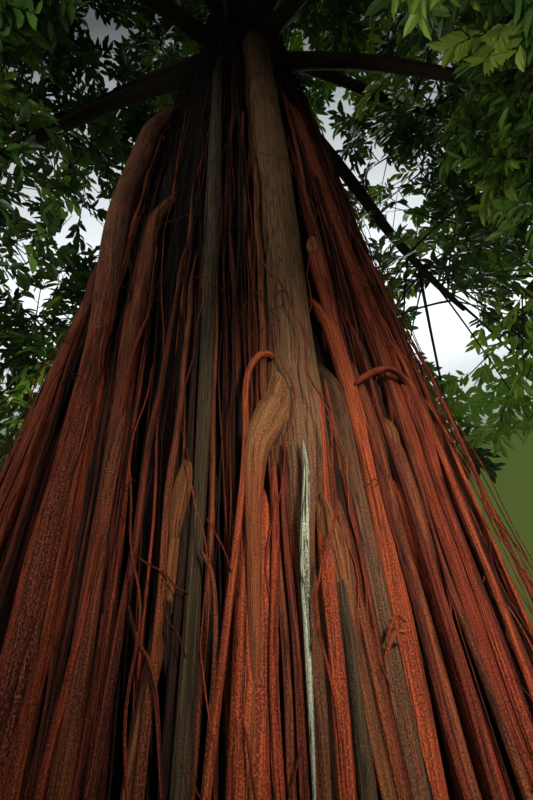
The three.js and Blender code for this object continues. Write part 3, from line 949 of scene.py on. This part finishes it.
# How far side strands run up, as a share of the root: on most roots, and on two others
SIDE_REACH = (0.55, 0.95)
SIDE_REACHES = {"skirt_root": (0.88, 1), "centre_stem": (0.34, 0.42)}
BACK_LOOKS = (
    ("rust", 0.6, 0, (-0.95, 0.34, "red"), (0.9, 0.3, "dark"), (0.5, 0.34, "brown")),
    ("scaly", 0.6, 0, (-0.6, 0.3, "rust"), (0.95, 0.36, "red")),
    ("brown", 0.65, 0, (-0.9, 0.3, "rust"), (-0.5, 0.3, "dark"), (0.8, 0.36, "rust")),
)

# Sides and rings of a root's main strand and of its side strands, at the front and at the back
FRONT_MESH = ((20, 96), (9, 60))
BACK_MESH = ((12, 52), (6, 40))
LATEST_PHASE = 6  # where waves may start
# Waves are pairs of reach and pace, lobes are counts and depth, and a flare is a widening and its height
MAIN_SWELL = (0.04, 2.3)
MAIN_LOBES = ((2, 3, 5, 7), 0.06)
MAIN_FLARE = (0.3, 0.4)
SIDE_SWAYS = ((0.12, 1.3), (0.06, 3.1))
SIDE_SWELL = (0.08, 2.7)
SIDE_LOBES = ((2, 3), 0.1)
SIDE_FLARE = (0.4, 0.3)
MAIN_GROWTH = (0.2, 0.5)  # the shares of its height between which the main strand takes up the whole root
STANDS_CLEAR = {"left_stem": 0.25}  # how far a root's upper half stands clear of the column
CLEAR_FROM = (5, 8.5)  # heights over which that begins, and shares of the root's height over which it ends
CLEAR_UNTIL = (1, 0.86)
# Side strands: where they start to merge, as a share of their reach, and how much they then gather, narrow
# and sink in
MERGES_FROM = 0.45
GATHERS = 0.45
NARROWS = 0.35
SINKS = 1.5
# How a main root's cover over thinner ones ends: beside it, in its half widths, and at its head
COVER_EDGE = (1.2, 0.8)
COVER_HEAD = (1, 0.9)


def covered(bearing, z):
    """Where the main roots of the front cover thinner ones, from 0 to 1"""
    share = np.zeros(z.shape)
    for height, foot, head, bow, foot_radius, head_radius in FRONT_ROOTS.values():
        rise = np.minimum(z / height, 1)
        line = lerp(foot, head, rise) + bow * np.sin(math.pi * rise)
        half = np.degrees(lerp(foot_radius, head_radius, rise) / column_radius(z))
        here = smoothstep(np.abs(bearing - line) / half, *COVER_EDGE) * smoothstep(rise, *COVER_HEAD)
        share = np.maximum(share, here)
    return share


def strand_of(root, offsets, shares, t):
    """The line and radii of a strand fused on a root: offsets and shares are in the root's radii"""
    centres, radius = root_line(root, t)
    out = away_from_axis(centres)
    inward = np.sqrt(np.clip(1 - offsets**2, 0, 1)) - shares
    centres = centres + (radius * offsets)[:, None] * np.cross(UP, out) + (radius * inward)[:, None] * out
    return centres, radius * shares


def waves(z, random, *pairs):
    """Waves up a limb that start at random"""
    return sum(reach * np.sin(pace * z + random.uniform(0, LATEST_PHASE)) for reach, pace in pairs)


def main_strand(name, root, look, mesh, random):
    """The strand that grows from a part of the root's foot to the whole root"""
    bark_name, foot_share, foot_offset = look
    sides, rings = mesh
    t = np.linspace(0, 1, rings)
    rise = t**FOOT_CROWDING
    z = root[0] * rise
    growth = smoothstep(rise, *MAIN_GROWTH)
    shares = lerp(foot_share, 1, growth)
    offsets = foot_offset * (1 - growth)
    if name == "centre_stem":
        heights, stem_shares, stem_offsets = zip(*STEM_WIDTHS)
        shares = np.interp(z, heights, stem_shares)
        offsets = np.interp(z, heights, stem_offsets)
    shares = shares * (1 + waves(z, random, MAIN_SWELL))
    centres, radius = strand_of(root, offsets, shares, t)
    clear = STANDS_CLEAR.get(name, 0) * smoothstep(z, *CLEAR_FROM) * smoothstep(rise, *CLEAR_UNTIL)
    centres = centres + clear[:, None] * away_from_axis(centres)
    return lobed(centres, radius * flare(z, *MAIN_FLARE), sides, bark_name, random, *MAIN_LOBES)


def side_strand(name, root, strand, mesh, random):
    """A finer strand that runs up from the root's foot and merges into it"""
    offset, share, bark_name = strand
    sides, rings = mesh
    reach = random.uniform(*SIDE_REACHES.get(name, SIDE_REACH))
    t = np.linspace(0, reach, rings)
    z = root[0] * t**FOOT_CROWDING
    merging = smoothstep(t, MERGES_FROM * reach, reach)
    offsets = offset * (1 - GATHERS * merging) + waves(z, random, *SIDE_SWAYS)
    shares = share * (1 - NARROWS * merging) * (1 + waves(z, random, SIDE_SWELL))
    centres, radius = strand_of(root, offsets, shares, t)
    centres = centres - (SINKS * merging**3 * radius)[:, None] * away_from_axis(centres)
    return lobed(centres, radius * flare(z, *SIDE_FLARE), sides, bark_name, random, *SIDE_LOBES)


def add_root(name, root, look, random):
    """A root's node as one main strand, with finer ones fused along its foot"""
    main_mesh, side_mesh = FRONT_MESH if name in FRONT_ROOTS else BACK_MESH
    parts = [main_strand(name, root, look[:3], main_mesh, random)]
    parts += [side_strand(name, root, strand, side_mesh, random) for strand in look[3:]]
    piece = add_strands(f"{name}_bark", parts)
    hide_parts(name)


# Finer roots of the front, as the photo has them: height of head, bearings at foot and head, sideways bow,
# radii at foot and head, how far they stand out of the column, and bark
FINE_ROOTS = (
    (3.5, 13.4, 15.4, -1.2, 0.034, 0.045, 0.15, "orange"),
    (3.3, 15.9, 16.4, -0.9, 0.036, 0.04, 0.13, "grey_green"),
    (3.4, 17.6, 17.0, -0.5, 0.03, 0.036, 0.13, "ochre_dark"),
    (3.6, 18.7, 18.2, -0.5, 0.03, 0.03, 0.12, "brown"),
    (3.9, 19.6, 19.6, -0.5, 0.018, 0.02, 0.1, "rust"),
    (4.4, 9.4, 12.4, 0.3, 0.07, 0.09, 0.05, "brown"),
    (4.0, 8.0, 10.6, 0.3, 0.02, 0.024, 0.09, "rust"),
    (4.0, 6.3, 9.0, 0, 0.024, 0.026, 0.07, "red"),
    (5.2, 24.3, 29.6, 1, 0.05, 0.045, 0.04, "brown"),
    (4.6, 23.0, 27.6, 1, 0.02, 0.024, 0.06, "rust"),
    (6.0, 26.6, 30.4, 2, 0.022, 0.02, 0.08, "rust"),
    (9.5, 9.6, 9.6, -1.2, 0.02, 0.036, 0.05, "brown"),
    (7.6, 7.4, 8.2, -1.0, 0.018, 0.02, 0.0, "rust"),
    (4.4, -41, -57, 0, 0.05, 0.045, 0.06, "orange"),
    (3.5, -6.2, -5, 0, 0.03, 0.05, 0.03, "ochre_dark"),
    (7.0, -8.5, -12.5, 0, 0.026, 0.024, 0.05, "rust"),
    (6.5, -4, -9, 0.6, 0.026, 0.024, 0.07, "brown"),
    (5.8, -11.2, -20, 0, 0.022, 0.02, 0.05, "red"),
    (8.2, -16.5, -42, 0, 0.03, 0.03, 0.08, "red"),
    (7.4, -19.5, -46, 0, 0.024, 0.02, 0.09, "rust"),
    (7.0, -24, -50, 0, 0.03, 0.024, 0.07, "red"),
    (7.5, 33, 42, 3, 0.036, 0.034, 0.1, "red"),
    (6.0, 36.5, 44, 3, 0.024, 0.024, 0.12, "orange"),
    (7.2, 38.5, 47, 2, 0.03, 0.026, 0.12, "rust"),
    (5.2, 43, 49, 2, 0.018, 0.016, 0.15, "orange"),
    (8.2, 46, 50, 2, 0.024, 0.024, 0.12, "red"),
    (6.2, 49, 52, 2, 0.016, 0.014, 0.2, "red"),
)

# Swellings and crossing roots of the front: bark, then points of height, bearing, radius and how far they
# stand out of the column
CURVED_ROOTS = (
    ("pale", (3.72, 13.0, 0.008, 0.16), (3.45, 12.9, 0.019, 0.19), (3.15, 12.2, 0.026, 0.19),
     (2.8, 11.4, 0.028, 0.18), (2.4, 11.0, 0.02, 0.15), (2.0, 10.6, 0.014, 0.12), (1.6, 10.2, 0.008, 0.08)),
    ("red", (5.2, 27.6, 0.05, -0.02), (5.8, 26.2, 0.075, 0.07), (6.3, 24.9, 0.09, 0.14),
     (6.6, 23.8, 0.05, 0.16)),
    ("ochre_dark", (6.3, 24.6, 0.05, 0.12), (6.5, 23.9, 0.08, 0.17), (6.6, 23.5, 0.06, 0.17),
     (6.66, 23.3, 0.03, 0.1)),
    ("brown", (2.7, 33.3, 0.05, -0.02), (3.4, 33.1, 0.07, 0.06), (3.95, 31.8, 0.08, 0.09),
     (4.4, 30.4, 0.05, -0.02)),
    ("ochre_dark", (3.75, 32.2, 0.03, 0.02), (3.95, 31.8, 0.055, 0.1), (4.1, 31.4, 0.05, 0.1),
     (4.25, 31.0, 0.02, 0.0)),
    ("ochre_dark", (2.3, 17.2, 0.026, 0.04), (2.8, 15.8, 0.06, 0.15), (3.03, 15.4, 0.07, 0.16),
     (3.4, 15.6, 0.03, 0.04)),
    ("ochre_dark", (2.7, -5.2, 0.02, -0.04), (3.15, -4.9, 0.05, 0.05), (3.4, -4.6, 0.06, 0.06),
     (3.7, -4.5, 0.02, -0.03)),
    ("rust", (5.6, -46.0, 0.08, -0.05), (6.7, -53.0, 0.15, 0.07), (7.5, -58.0, 0.17, 0.1),
     (8.3, -62.0, 0.06, -0.1)),
    ("brown", (2.4, -14.6, 0.04, -0.03), (3.4, -16.7, 0.07, 0.06), (3.9, -17.6, 0.08, 0.07),
     (4.6, -19.4, 0.03, -0.03)),
    ("brown", (2.9, -1.0, 0.012, 0.08), (2.7, 0.8, 0.013, 0.11), (2.3, 1.4, 0.012, 0.1),
     (1.6, 0.7, 0.012, 0.04)),
    ("rust", (2.6, -9.0, 0.01, 0.07), (2.4, -7.0, 0.012, 0.11), (2.2, -4.5, 0.011, 0.11),
     (1.7, -2.5, 0.01, 0.05)),
    ("orange", (2.42, 20.4, 0.009, 0.1), (2.52, 21.4, 0.011, 0.16), (2.5, 23.0, 0.01, 0.13)),
    ("orange", (2.3, 19.4, 0.009, 0.1), (2.42, 20.6, 0.01, 0.17), (2.44, 22.6, 0.009, 0.13)),
)
# The roots that bend from one stem to another and are nodes of their own, in the same form
BENT_ROOTS = {
    "knee": ("knee", (1.9, 5.4, 0.03, 0.03), (2.6, 5.6, 0.04, 0.07), (3.2, 5.7, 0.055, 0.1),
             (3.62, 6.2, 0.09, 0.13), (3.88, 8.0, 0.125, 0.13), (4.2, 10.8, 0.14, 0.08),
             (4.7, 13.6, 0.14, 0.0)),
    "arch_root": ("orange", (0, -1.5, 0.026, 0.04), (1.8, 1.2, 0.023, 0.06), (3.5, 4.4, 0.022, 0.08),
                  (4.25, 4.7, 0.024, 0.1), (4.54, 6.4, 0.026, 0.11), (4.66, 8.8, 0.03, 0.08),
                  (4.7, 11.8, 0.036, -0.04)),
    "bridge_root": ("red", (4.5, 26.5, 0.026, 0.05), (4.68, 31, 0.028, 0.12), (4.82, 36.5, 0.03, 0.15),
                    (4.75, 41.5, 0.03, 0.14), (4.35, 44, 0.028, 0.1), (3.7, 43.8, 0.028, 0.04)),
}
BENT_MESH = (12, 36)
BENT_LOBES = ((1, 2, 3), 0.04)
BENT_LOBE_PACE = 4  # how much faster lobes change along a bent root than up a limb
ROUNDING_POWER = 10
LEAST_ROUNDING = 0.02

THINNEST_SIDES = 4
# Rootlets: how many, of how many rings, their lowest and highest places, how far they rise and cross in
# metres, how far round they stand, how much further round one in three is, and how they crook, arch, keep
# clear, sink in at their ends and taper
ROOTLET_COUNT = 130
ROOTLET_RINGS = 9
ROOTLET_HEIGHTS = (1.2, 9)
ROOTLET_RISE = 0.8
ROOTLET_SPAN = 0.5
ROOTLET_BEARING = 70
FURTHER_ROUND = 2.5
ROOTLET_CROOK = 0.018
ROOTLET_ARCH = 0.08
ROOTLET_GAP = 0.02
ROOTLET_DEPTH = 0.12
ROOTLET_RADII = (0.003, 0.007)
ROOTLET_TAPER = 0.4
KNEE_PLACE = (3.9, 7.5)  # height and bearing that rootlets keep away from, and how far
KNEE_SPACE = (0.8, 6)

# Loose roots: how many, of how many rings, and the bearings between which one in three of them stands
LOOSE_COUNT = 40
LOOSE_RINGS = 48
RIGHT_BEARINGS = (38, 75)
LOOSE_HEIGHTS = (5, 11)
LOOSE_CLEAR = (0.05, 0.4)
CLEAR_CLOSING = 0.7  # the power by which they near the column towards their heads
LOOSE_PACES = (0.7, 1.6, 3.4, 7.1)
LOOSE_CALM = 0.7  # the power by which quicker sways are smaller
SWAY_SIDEWAYS = 0.08
SWAY_OUTWARDS = 0.04
LOOSE_HEAD_DEPTH = 0.35
LOOSE_HEAD_FROM = 0.9
LOOSE_RADII = (0.004, 0.01)
LOOSE_TAPER = 0.3

# Fine roots: sides and rings, crowding towards the foot, where their heads start to end, how much thinner and
# deeper they then are, and their wander: reach in degrees, pace, and phase for each degree of bearing
FINE_MESH = (10, 60)
FINE_CROWDING = 1.2
FINE_ENDS_FROM = 0.86
FINE_TAPER = 0.6
FINE_DEPTH = 0.12
FINE_WANDER = ((0.25, 2.1, 10), (0.15, 4.7, 20))
FINE_LOBES = ((2, 3, 4), 0.08)

# Curtains of thin roots: name, count, sides, rings, radii, heights, how far out they stand between the core
# and the column's face, wander, and barks with their shares
CURTAINS = (
    ("medium_roots", 190, 6, 34, (0.016, 0.036), (6, 17), (0.25, 1.0), 0.02,
     dict(rust=5, red=2, brown=1, dark=6)),
    ("thin_roots", 560, 3, 38, (0.006, 0.015), (5, 18), (0.3, 1.15), 0.03,
     dict(rust=5, red=3, dark=6, brown=1, orange=0.6)),
)
IN_FRONT = (-60, 60)  # the bearings between which more of them stand
IN_FRONT_SHARE = 0.35  # the share that is moved there from all round
CURTAIN_CROWDING = 1.3
CURTAIN_PACES = (0.5, 1.1, 2.3, 4.1)
CURTAIN_SINKS_FROM = 0.93
CURTAIN_DEPTH = 0.05
CURTAIN_TAPER = 0.25
CURTAIN_SWELL = 0.12
CURTAIN_FLARE = (0.8, 0.25)
SHADED_BEARING = -9  # the middle of the stretch where most thin roots are dark
SHADED_HALF_WIDTH = 12
SHADED_SHARE = 0.7
STEPS_BACK = 0.3  # how far thin roots keep behind a main root that they would cross
# Degrees that thin roots turn for each metre of height, by the bearings of their feet: about as main roots do
DRIFT_FEET = (-180, -110, -60, -29, -13, -6.5, -1, 5, 14.5, 31, 40, 70, 180)
DRIFTS = (0, -1, -3, -4.4, -3.8, -2.5, -1.2, -0.3, 0.2, 0.5, 0.75, 0.2, 0)

BOUGH_MESH = (14, 26)
BOUGH_LOBES = ((2, 3, 5), 0.05)
BOUGH_LOBE_PACE = 3
COLUMN_SEED = 4
BOUGH_SEED = 9


def through(points, t):
    """A smooth curve through evenly spaced points, each a row of values"""
    points = np.array(points, float)
    points = np.concatenate([2 * points[:1] - points[1:2], points, 2 * points[-1:] - points[-2:-1]])
    at = t * (len(points) - 3)
    step = np.minimum(at.astype(int), len(points) - 4)
    s = (at - step)[:, None]
    before, start, end, after = (points[step + k] for k in range(4))
    bend = 2 * before - 5 * start + 4 * end - after
    return start + 0.5 * s * (end - before + s * (bend + s * (3 * (start - end) + after - before)))


def bent_strand(bark_name, points, random):
    """A root through points across the column, rounded off where it sinks in at its ends"""
    sides, rings = BENT_MESH
    t = np.linspace(0, 1, rings)
    z, bearing, radius, stand_out = through(points, t).T
    centres = polar(bearing, column_radius(z) + stand_out - radius, z)
    rounding = np.sqrt(np.clip(1 - np.abs(2 * t - 1) ** ROUNDING_POWER, LEAST_ROUNDING, 1))
    return lobed(centres, radius * rounding, sides, bark_name, random, *BENT_LOBES, BENT_LOBE_PACE * z)


def add_bent_roots(random):
    parts = [bent_strand(bark_name, points, random) for bark_name, *points in CURVED_ROOTS]
    add_strands("curved_roots", parts, "on_column")
    for name, (bark_name, *points) in BENT_ROOTS.items():
        piece = add_strands(f"{name}_bark", [bent_strand(bark_name, points, random)], "on_column")
        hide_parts(name)


def add_rootlets(random):
    """Thin crooked rootlets that cross between the roots"""
    count, rings = ROOTLET_COUNT, ROOTLET_RINGS
    t = np.linspace(0, 1, rings)
    foot = random.uniform(*ROOTLET_HEIGHTS, count)[:, None]
    z = foot + ROOTLET_RISE * random.uniform(-1, 1, (count, 1)) * t
    span = np.degrees(ROOTLET_SPAN * random.uniform(-1, 1, (count, 1)) / column_radius(z))
    bearing = random.uniform(-ROOTLET_BEARING, ROOTLET_BEARING, count)[:, None] + span * t
    bearing[::3] *= FURTHER_ROUND
    crook = np.cumsum(random.normal(0, ROOTLET_CROOK, (2, count, rings)), axis=2)
    arch = ROOTLET_ARCH * np.sin(math.pi * t) - ROOTLET_DEPTH * ((t == 0) | (t == 1))
    distance = column_radius(z) + ROOTLET_GAP + arch + 0.5 * crook[0]
    radius = random.uniform(*ROOTLET_RADII, count)[:, None] * (1 - ROOTLET_TAPER * t)
    centres = polar(bearing, distance, z + crook[1])
    at_knee = (np.abs(z - KNEE_PLACE[0]) < KNEE_SPACE[0]) & (np.abs(bearing - KNEE_PLACE[1]) < KNEE_SPACE[1])
    kept = ~at_knee.any(axis=1)
    part = (centres[kept], radius[kept], THINNEST_SIDES, "rust")
    add_strands("rootlets", [part], "on_column")


def add_loose_roots(random):
    """Thin roots that hang clear of the column from its upper part down to the ground"""
    count = LOOSE_COUNT
    t = np.linspace(0, 1, LOOSE_RINGS)
    foot = random.uniform(-180, 180, count)
    foot[: count // 3] = random.uniform(*RIGHT_BEARINGS, count // 3)
    z = random.uniform(*LOOSE_HEIGHTS, count)[:, None] * t
    clear = random.uniform(*LOOSE_CLEAR, count)[:, None] * (1 - t) ** CLEAR_CLOSING
    phases = [random.uniform(0, LATEST_PHASE, (count, 1)) for _ in LOOSE_PACES]
    sway = sum(np.sin(pace * z + phase) / pace**LOOSE_CALM for pace, phase in zip(LOOSE_PACES, phases))
    turn = np.degrees(SWAY_SIDEWAYS * sway / column_radius(z))
    bearing = foot[:, None] + drift_at(foot)[:, None] * z + turn
    sunk = LOOSE_HEAD_DEPTH * smoothstep(t, LOOSE_HEAD_FROM, 1)
    distance = column_radius(z) + clear + SWAY_OUTWARDS * sway - sunk
    radius = random.uniform(*LOOSE_RADII, count)[:, None] * (1 - LOOSE_TAPER * t)
    kinds = ("red", "rust", "orange")
    parts = []
    for k, bark_name in enumerate(kinds):
        chosen = slice(k, None, len(kinds))
        parts.append((polar(bearing, distance, z)[chosen], radius[chosen], THINNEST_SIDES, bark_name))
    add_strands("loose_roots", parts)


def free_line(height, foot, head, bow, foot_radius, head_radius, stand_out, t):
    """A fine root's line, which tapers off and sinks into the column at its head"""
    rise = t**FINE_CROWDING
    z = rise * height
    ending = smoothstep(t, FINE_ENDS_FROM, 1)
    radius = lerp(foot_radius, head_radius, t) * (1 - FINE_TAPER * ending)
    distance = column_radius(z) + stand_out - radius - FINE_DEPTH * ending
    wander = sum(reach * np.sin(pace * z + phase * foot) for reach, pace, phase in FINE_WANDER)
    return polar(lerp(foot, head, rise) + bow * np.sin(math.pi * rise) + wander, distance, z), radius


def add_fine_roots(random):
    sides, rings = FINE_MESH
    parts = []
    for *shape, bark_name in FINE_ROOTS:
        centres, radius = free_line(*shape, np.linspace(0, 1, rings))
        radius = radius * flare(centres[:, 2], *SIDE_FLARE)
        parts.append(lobed(centres, radius, sides, bark_name, random, *FINE_LOBES))
    add_strands("fine_roots", parts)


def drift_at(bearing):
    return np.interp(bearing, DRIFT_FEET, DRIFTS)


def curtain_lines(count, rings, radii, heights, depth, wander, random):
    """Lines of thin roots spread round the column"""
    foot = random.uniform(-180, 180, count)
    in_front = random.random(count) < IN_FRONT_SHARE
    foot = np.where(in_front, random.uniform(*IN_FRONT, count), foot)[:, None]
    height = random.uniform(*heights, count)[:, None]
    t = np.linspace(0, 1, rings)
    z = t**CURTAIN_CROWDING * height
    sway = np.zeros_like(z)
    inout = np.zeros_like(z)
    for pace in CURTAIN_PACES:
        phase = random.uniform(0, 2 * math.pi, (2, count, 1))
        sway += np.sin(pace * z + phase[0]) / pace
        inout += np.sin(pace * z + phase[1]) / pace
    bearing = foot + drift_at(foot) * z + np.degrees(wander * sway / column_radius(z))
    share = random.uniform(*depth, count)[:, None]
    distance = lerp(core_radius(z), column_radius(z), share) + 0.5 * wander * inout
    distance = distance - STEPS_BACK * covered(bearing, z)
    distance = lerp(distance, core_radius(z) - CURTAIN_DEPTH, smoothstep(t, CURTAIN_SINKS_FROM, 1))
    radius = random.uniform(*radii, count)[:, None] * (1 - CURTAIN_TAPER * t) * (1 + CURTAIN_SWELL * sway)
    return foot[:, 0], polar(bearing, distance, z), radius * flare(z, *CURTAIN_FLARE)


def add_curtain(name, count, sides, rings, radii, heights, depth, wander, mixes, random):
    foot, centres, radius = curtain_lines(count, rings, radii, heights, depth, wander, random)
    vertices, faces, places = tubes(centres, radius, sides)
    names = list(mixes)
    shares = np.array([mixes[key] for key in names], float)
    kind = random.choice(len(names), count, p=shares / shares.sum())
    in_shade = (np.abs(foot - SHADED_BEARING) < SHADED_HALF_WIDTH) & (random.random(count) < SHADED_SHARE)
    kind[in_shade] = names.index("dark")
    face_kinds = [np.repeat(kind, (rings - 1) * sides), np.tile(kind, 2)]
    piece = add_piece(name, vertices, faces, [BARKS[key] for key in names], face_kinds, places)


def add_boughs(masses, random):
    sides, rings = BOUGH_MESH
    t = np.linspace(0, 1, rings)
    for mass in masses:
        centres = bezier(*mass["bough"], t)
        radius = lerp(mass["seat_radius"], mass["tip_radius"], np.sqrt(t))
        part = lobed(centres, radius, sides, "bough", random, *BOUGH_LOBES, BOUGH_LOBE_PACE * t)
        piece = add_strands(f"bough_{mass['name']}_bark", [part], "free")
        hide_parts(f"bough_{mass['name']}")


def add_column(roots):
    random = np.random.default_rng(COLUMN_SEED)
    add_core()
    for i, (name, root) in enumerate(roots.items()):
        add_root(name, root, ROOT_LOOKS.get(name, BACK_LOOKS[i % len(BACK_LOOKS)]), random)
    add_fine_roots(random)
    add_bent_roots(random)
    add_rootlets(random)
    add_loose_roots(random)
    for curtain in CURTAINS:
        add_curtain(*curtain, random)


# Floor, light and camera

FLOOR_HALF = 60
FLOOR_COLOUR = (0.3, 0.3, 0.29)
FLOOR_ROUGHNESS = 0.9
VIEW_END = 500
# Name: place, target, size, power and colour
AREA_LIGHTS = {
    "upper_light": ((-3, -10, 6), (0, -1, 13), 2.5, 420, (0.9, 0.98, 0.97)),
    "left_leaf_light": ((-9, -6, 5), (-8, 0, 14), 3, 600, (1, 1, 0.92)),
    "right_leaf_light": ((9, -6, 4), (9, 1, 14), 3, 130, (1, 1, 0.92)),
    "key_light": ((-14, -20, 34), (0, 0, 14), 14, 3500, (1, 0.98, 0.94)),
    "back_light": ((16, 22, 30), (0, 0, 14), 16, 8000, (0.95, 0.98, 1)),
}
NEAR_LIGHT_PLACE = (2.5, -7.4, 4.2)
NEAR_LIGHT_TARGET = (1.5, -2.3, 3.25)
NEAR_LIGHT_SPREAD = 58
NEAR_LIGHT_RADIUS = 0.5
NEAR_LIGHT_POWER = 2450
NEAR_LIGHT_COLOUR = (1, 0.92, 0.82)
# The backdrop: how far back the bright part begins and is full, how high the green begins and is full, their
# colours, and the strength in front and what the part behind adds
BRIGHT_EDGES = (0.26, 0.62)
GREEN_EDGES = (0.69, 0.54)
SKY_COLOUR = (0.9, 0.96, 1.0)
GREEN_COLOUR = (0.06, 0.085, 0.02)
FRONT_STRENGTH = 0.12
BACK_STRENGTH = 1.15


def place_in_scene(name, data):
    thing = bpy.data.objects.new(name, data)
    bpy.context.scene.collection.objects.link(thing)
    return thing


def add_floor():
    mesh = bpy.data.meshes.new("floor")
    corners = [(FLOOR_HALF * x, FLOOR_HALF * y, 0) for x, y in ((-1, -1), (1, -1), (1, 1), (-1, 1))]
    mesh.from_pydata(corners, [], [range(len(corners))])
    mesh.materials.append(plain("floor_pale", FLOOR_COLOUR, FLOOR_ROUGHNESS))
    floor = place_in_scene("floor", mesh)


def place_light(light, place, target, power, colour):
    light.energy = power
    light.color = colour
    lamp = place_in_scene(light.name, light)
    lamp.location = place
    lamp.rotation_euler = Vector(np.subtract(target, place)).to_track_quat("-Z", "Y").to_euler()


def add_lights():
    for name, (place, target, size, power, colour) in AREA_LIGHTS.items():
        light = bpy.data.lights.new(name, "AREA")
        light.size = size
        place_light(light, place, target, power, colour)


def add_near_light():
    """Soft light on the middle of the roots, which leaves their feet in shade"""
    light = bpy.data.lights.new("near_light", "SPOT")
    light.spot_size = math.radians(NEAR_LIGHT_SPREAD)
    light.spot_blend = 1
    light.shadow_soft_size = NEAR_LIGHT_RADIUS
    place_light(light, NEAR_LIGHT_PLACE, NEAR_LIGHT_TARGET, NEAR_LIGHT_POWER, NEAR_LIGHT_COLOUR)


def add_backdrop():
    """Dim in front, and behind it a bright sky over green"""
    world = bpy.data.worlds.new("studio")
    bpy.context.scene.world = world
    world.use_nodes = True
    tree = world.node_tree
    background = tree.nodes["Background"]
    direction = tree.nodes.new("ShaderNodeTexCoord").outputs["Generated"]
    separate = add_node(tree, "ShaderNodeSeparateXYZ", {"Vector": direction})
    behind = stretch(tree, separate.outputs["Y"], *BRIGHT_EDGES)
    low = arithmetic(tree, "MULTIPLY", stretch(tree, separate.outputs["Z"], *GREEN_EDGES), behind)
    feed(tree, background.inputs["Color"], mix_colour(tree, low, SKY_COLOUR, GREEN_COLOUR))
    strength = arithmetic(tree, "MULTIPLY_ADD", behind, BACK_STRENGTH, FRONT_STRENGTH)
    feed(tree, background.inputs["Strength"], strength)


def add_camera():
    """The photo's view: from eye height beside the roots, tilted steeply up the column"""
    camera = bpy.data.cameras.new("camera")
    camera.sensor_width = SENSOR
    camera.lens = FOCAL_LENGTH
    camera.clip_end = VIEW_END
    eye = place_in_scene("camera", camera)
    turn = Matrix.Rotation(math.pi / 2 + PITCH, 4, "X") @ Matrix.Rotation(-ROLL, 4, "Z")
    eye.matrix_world = Matrix.Translation(Vector(EYE)) @ turn
    bpy.context.scene.camera = eye


def set_tones():
    scene = bpy.context.scene
    scene.view_settings.view_transform = "Standard"
    scene.view_settings.look = "None"
    scene.view_settings.exposure = 0


roots = front_and_back_roots()
masses = lay_out_masses()
pieces = limb_pieces(roots, masses)
add_floor()
add_lights()
add_near_light()
add_backdrop()
add_camera()
set_tones()
add_column(roots)
add_boughs(masses, np.random.default_rng(BOUGH_SEED))
add_crown(masses, pieces)
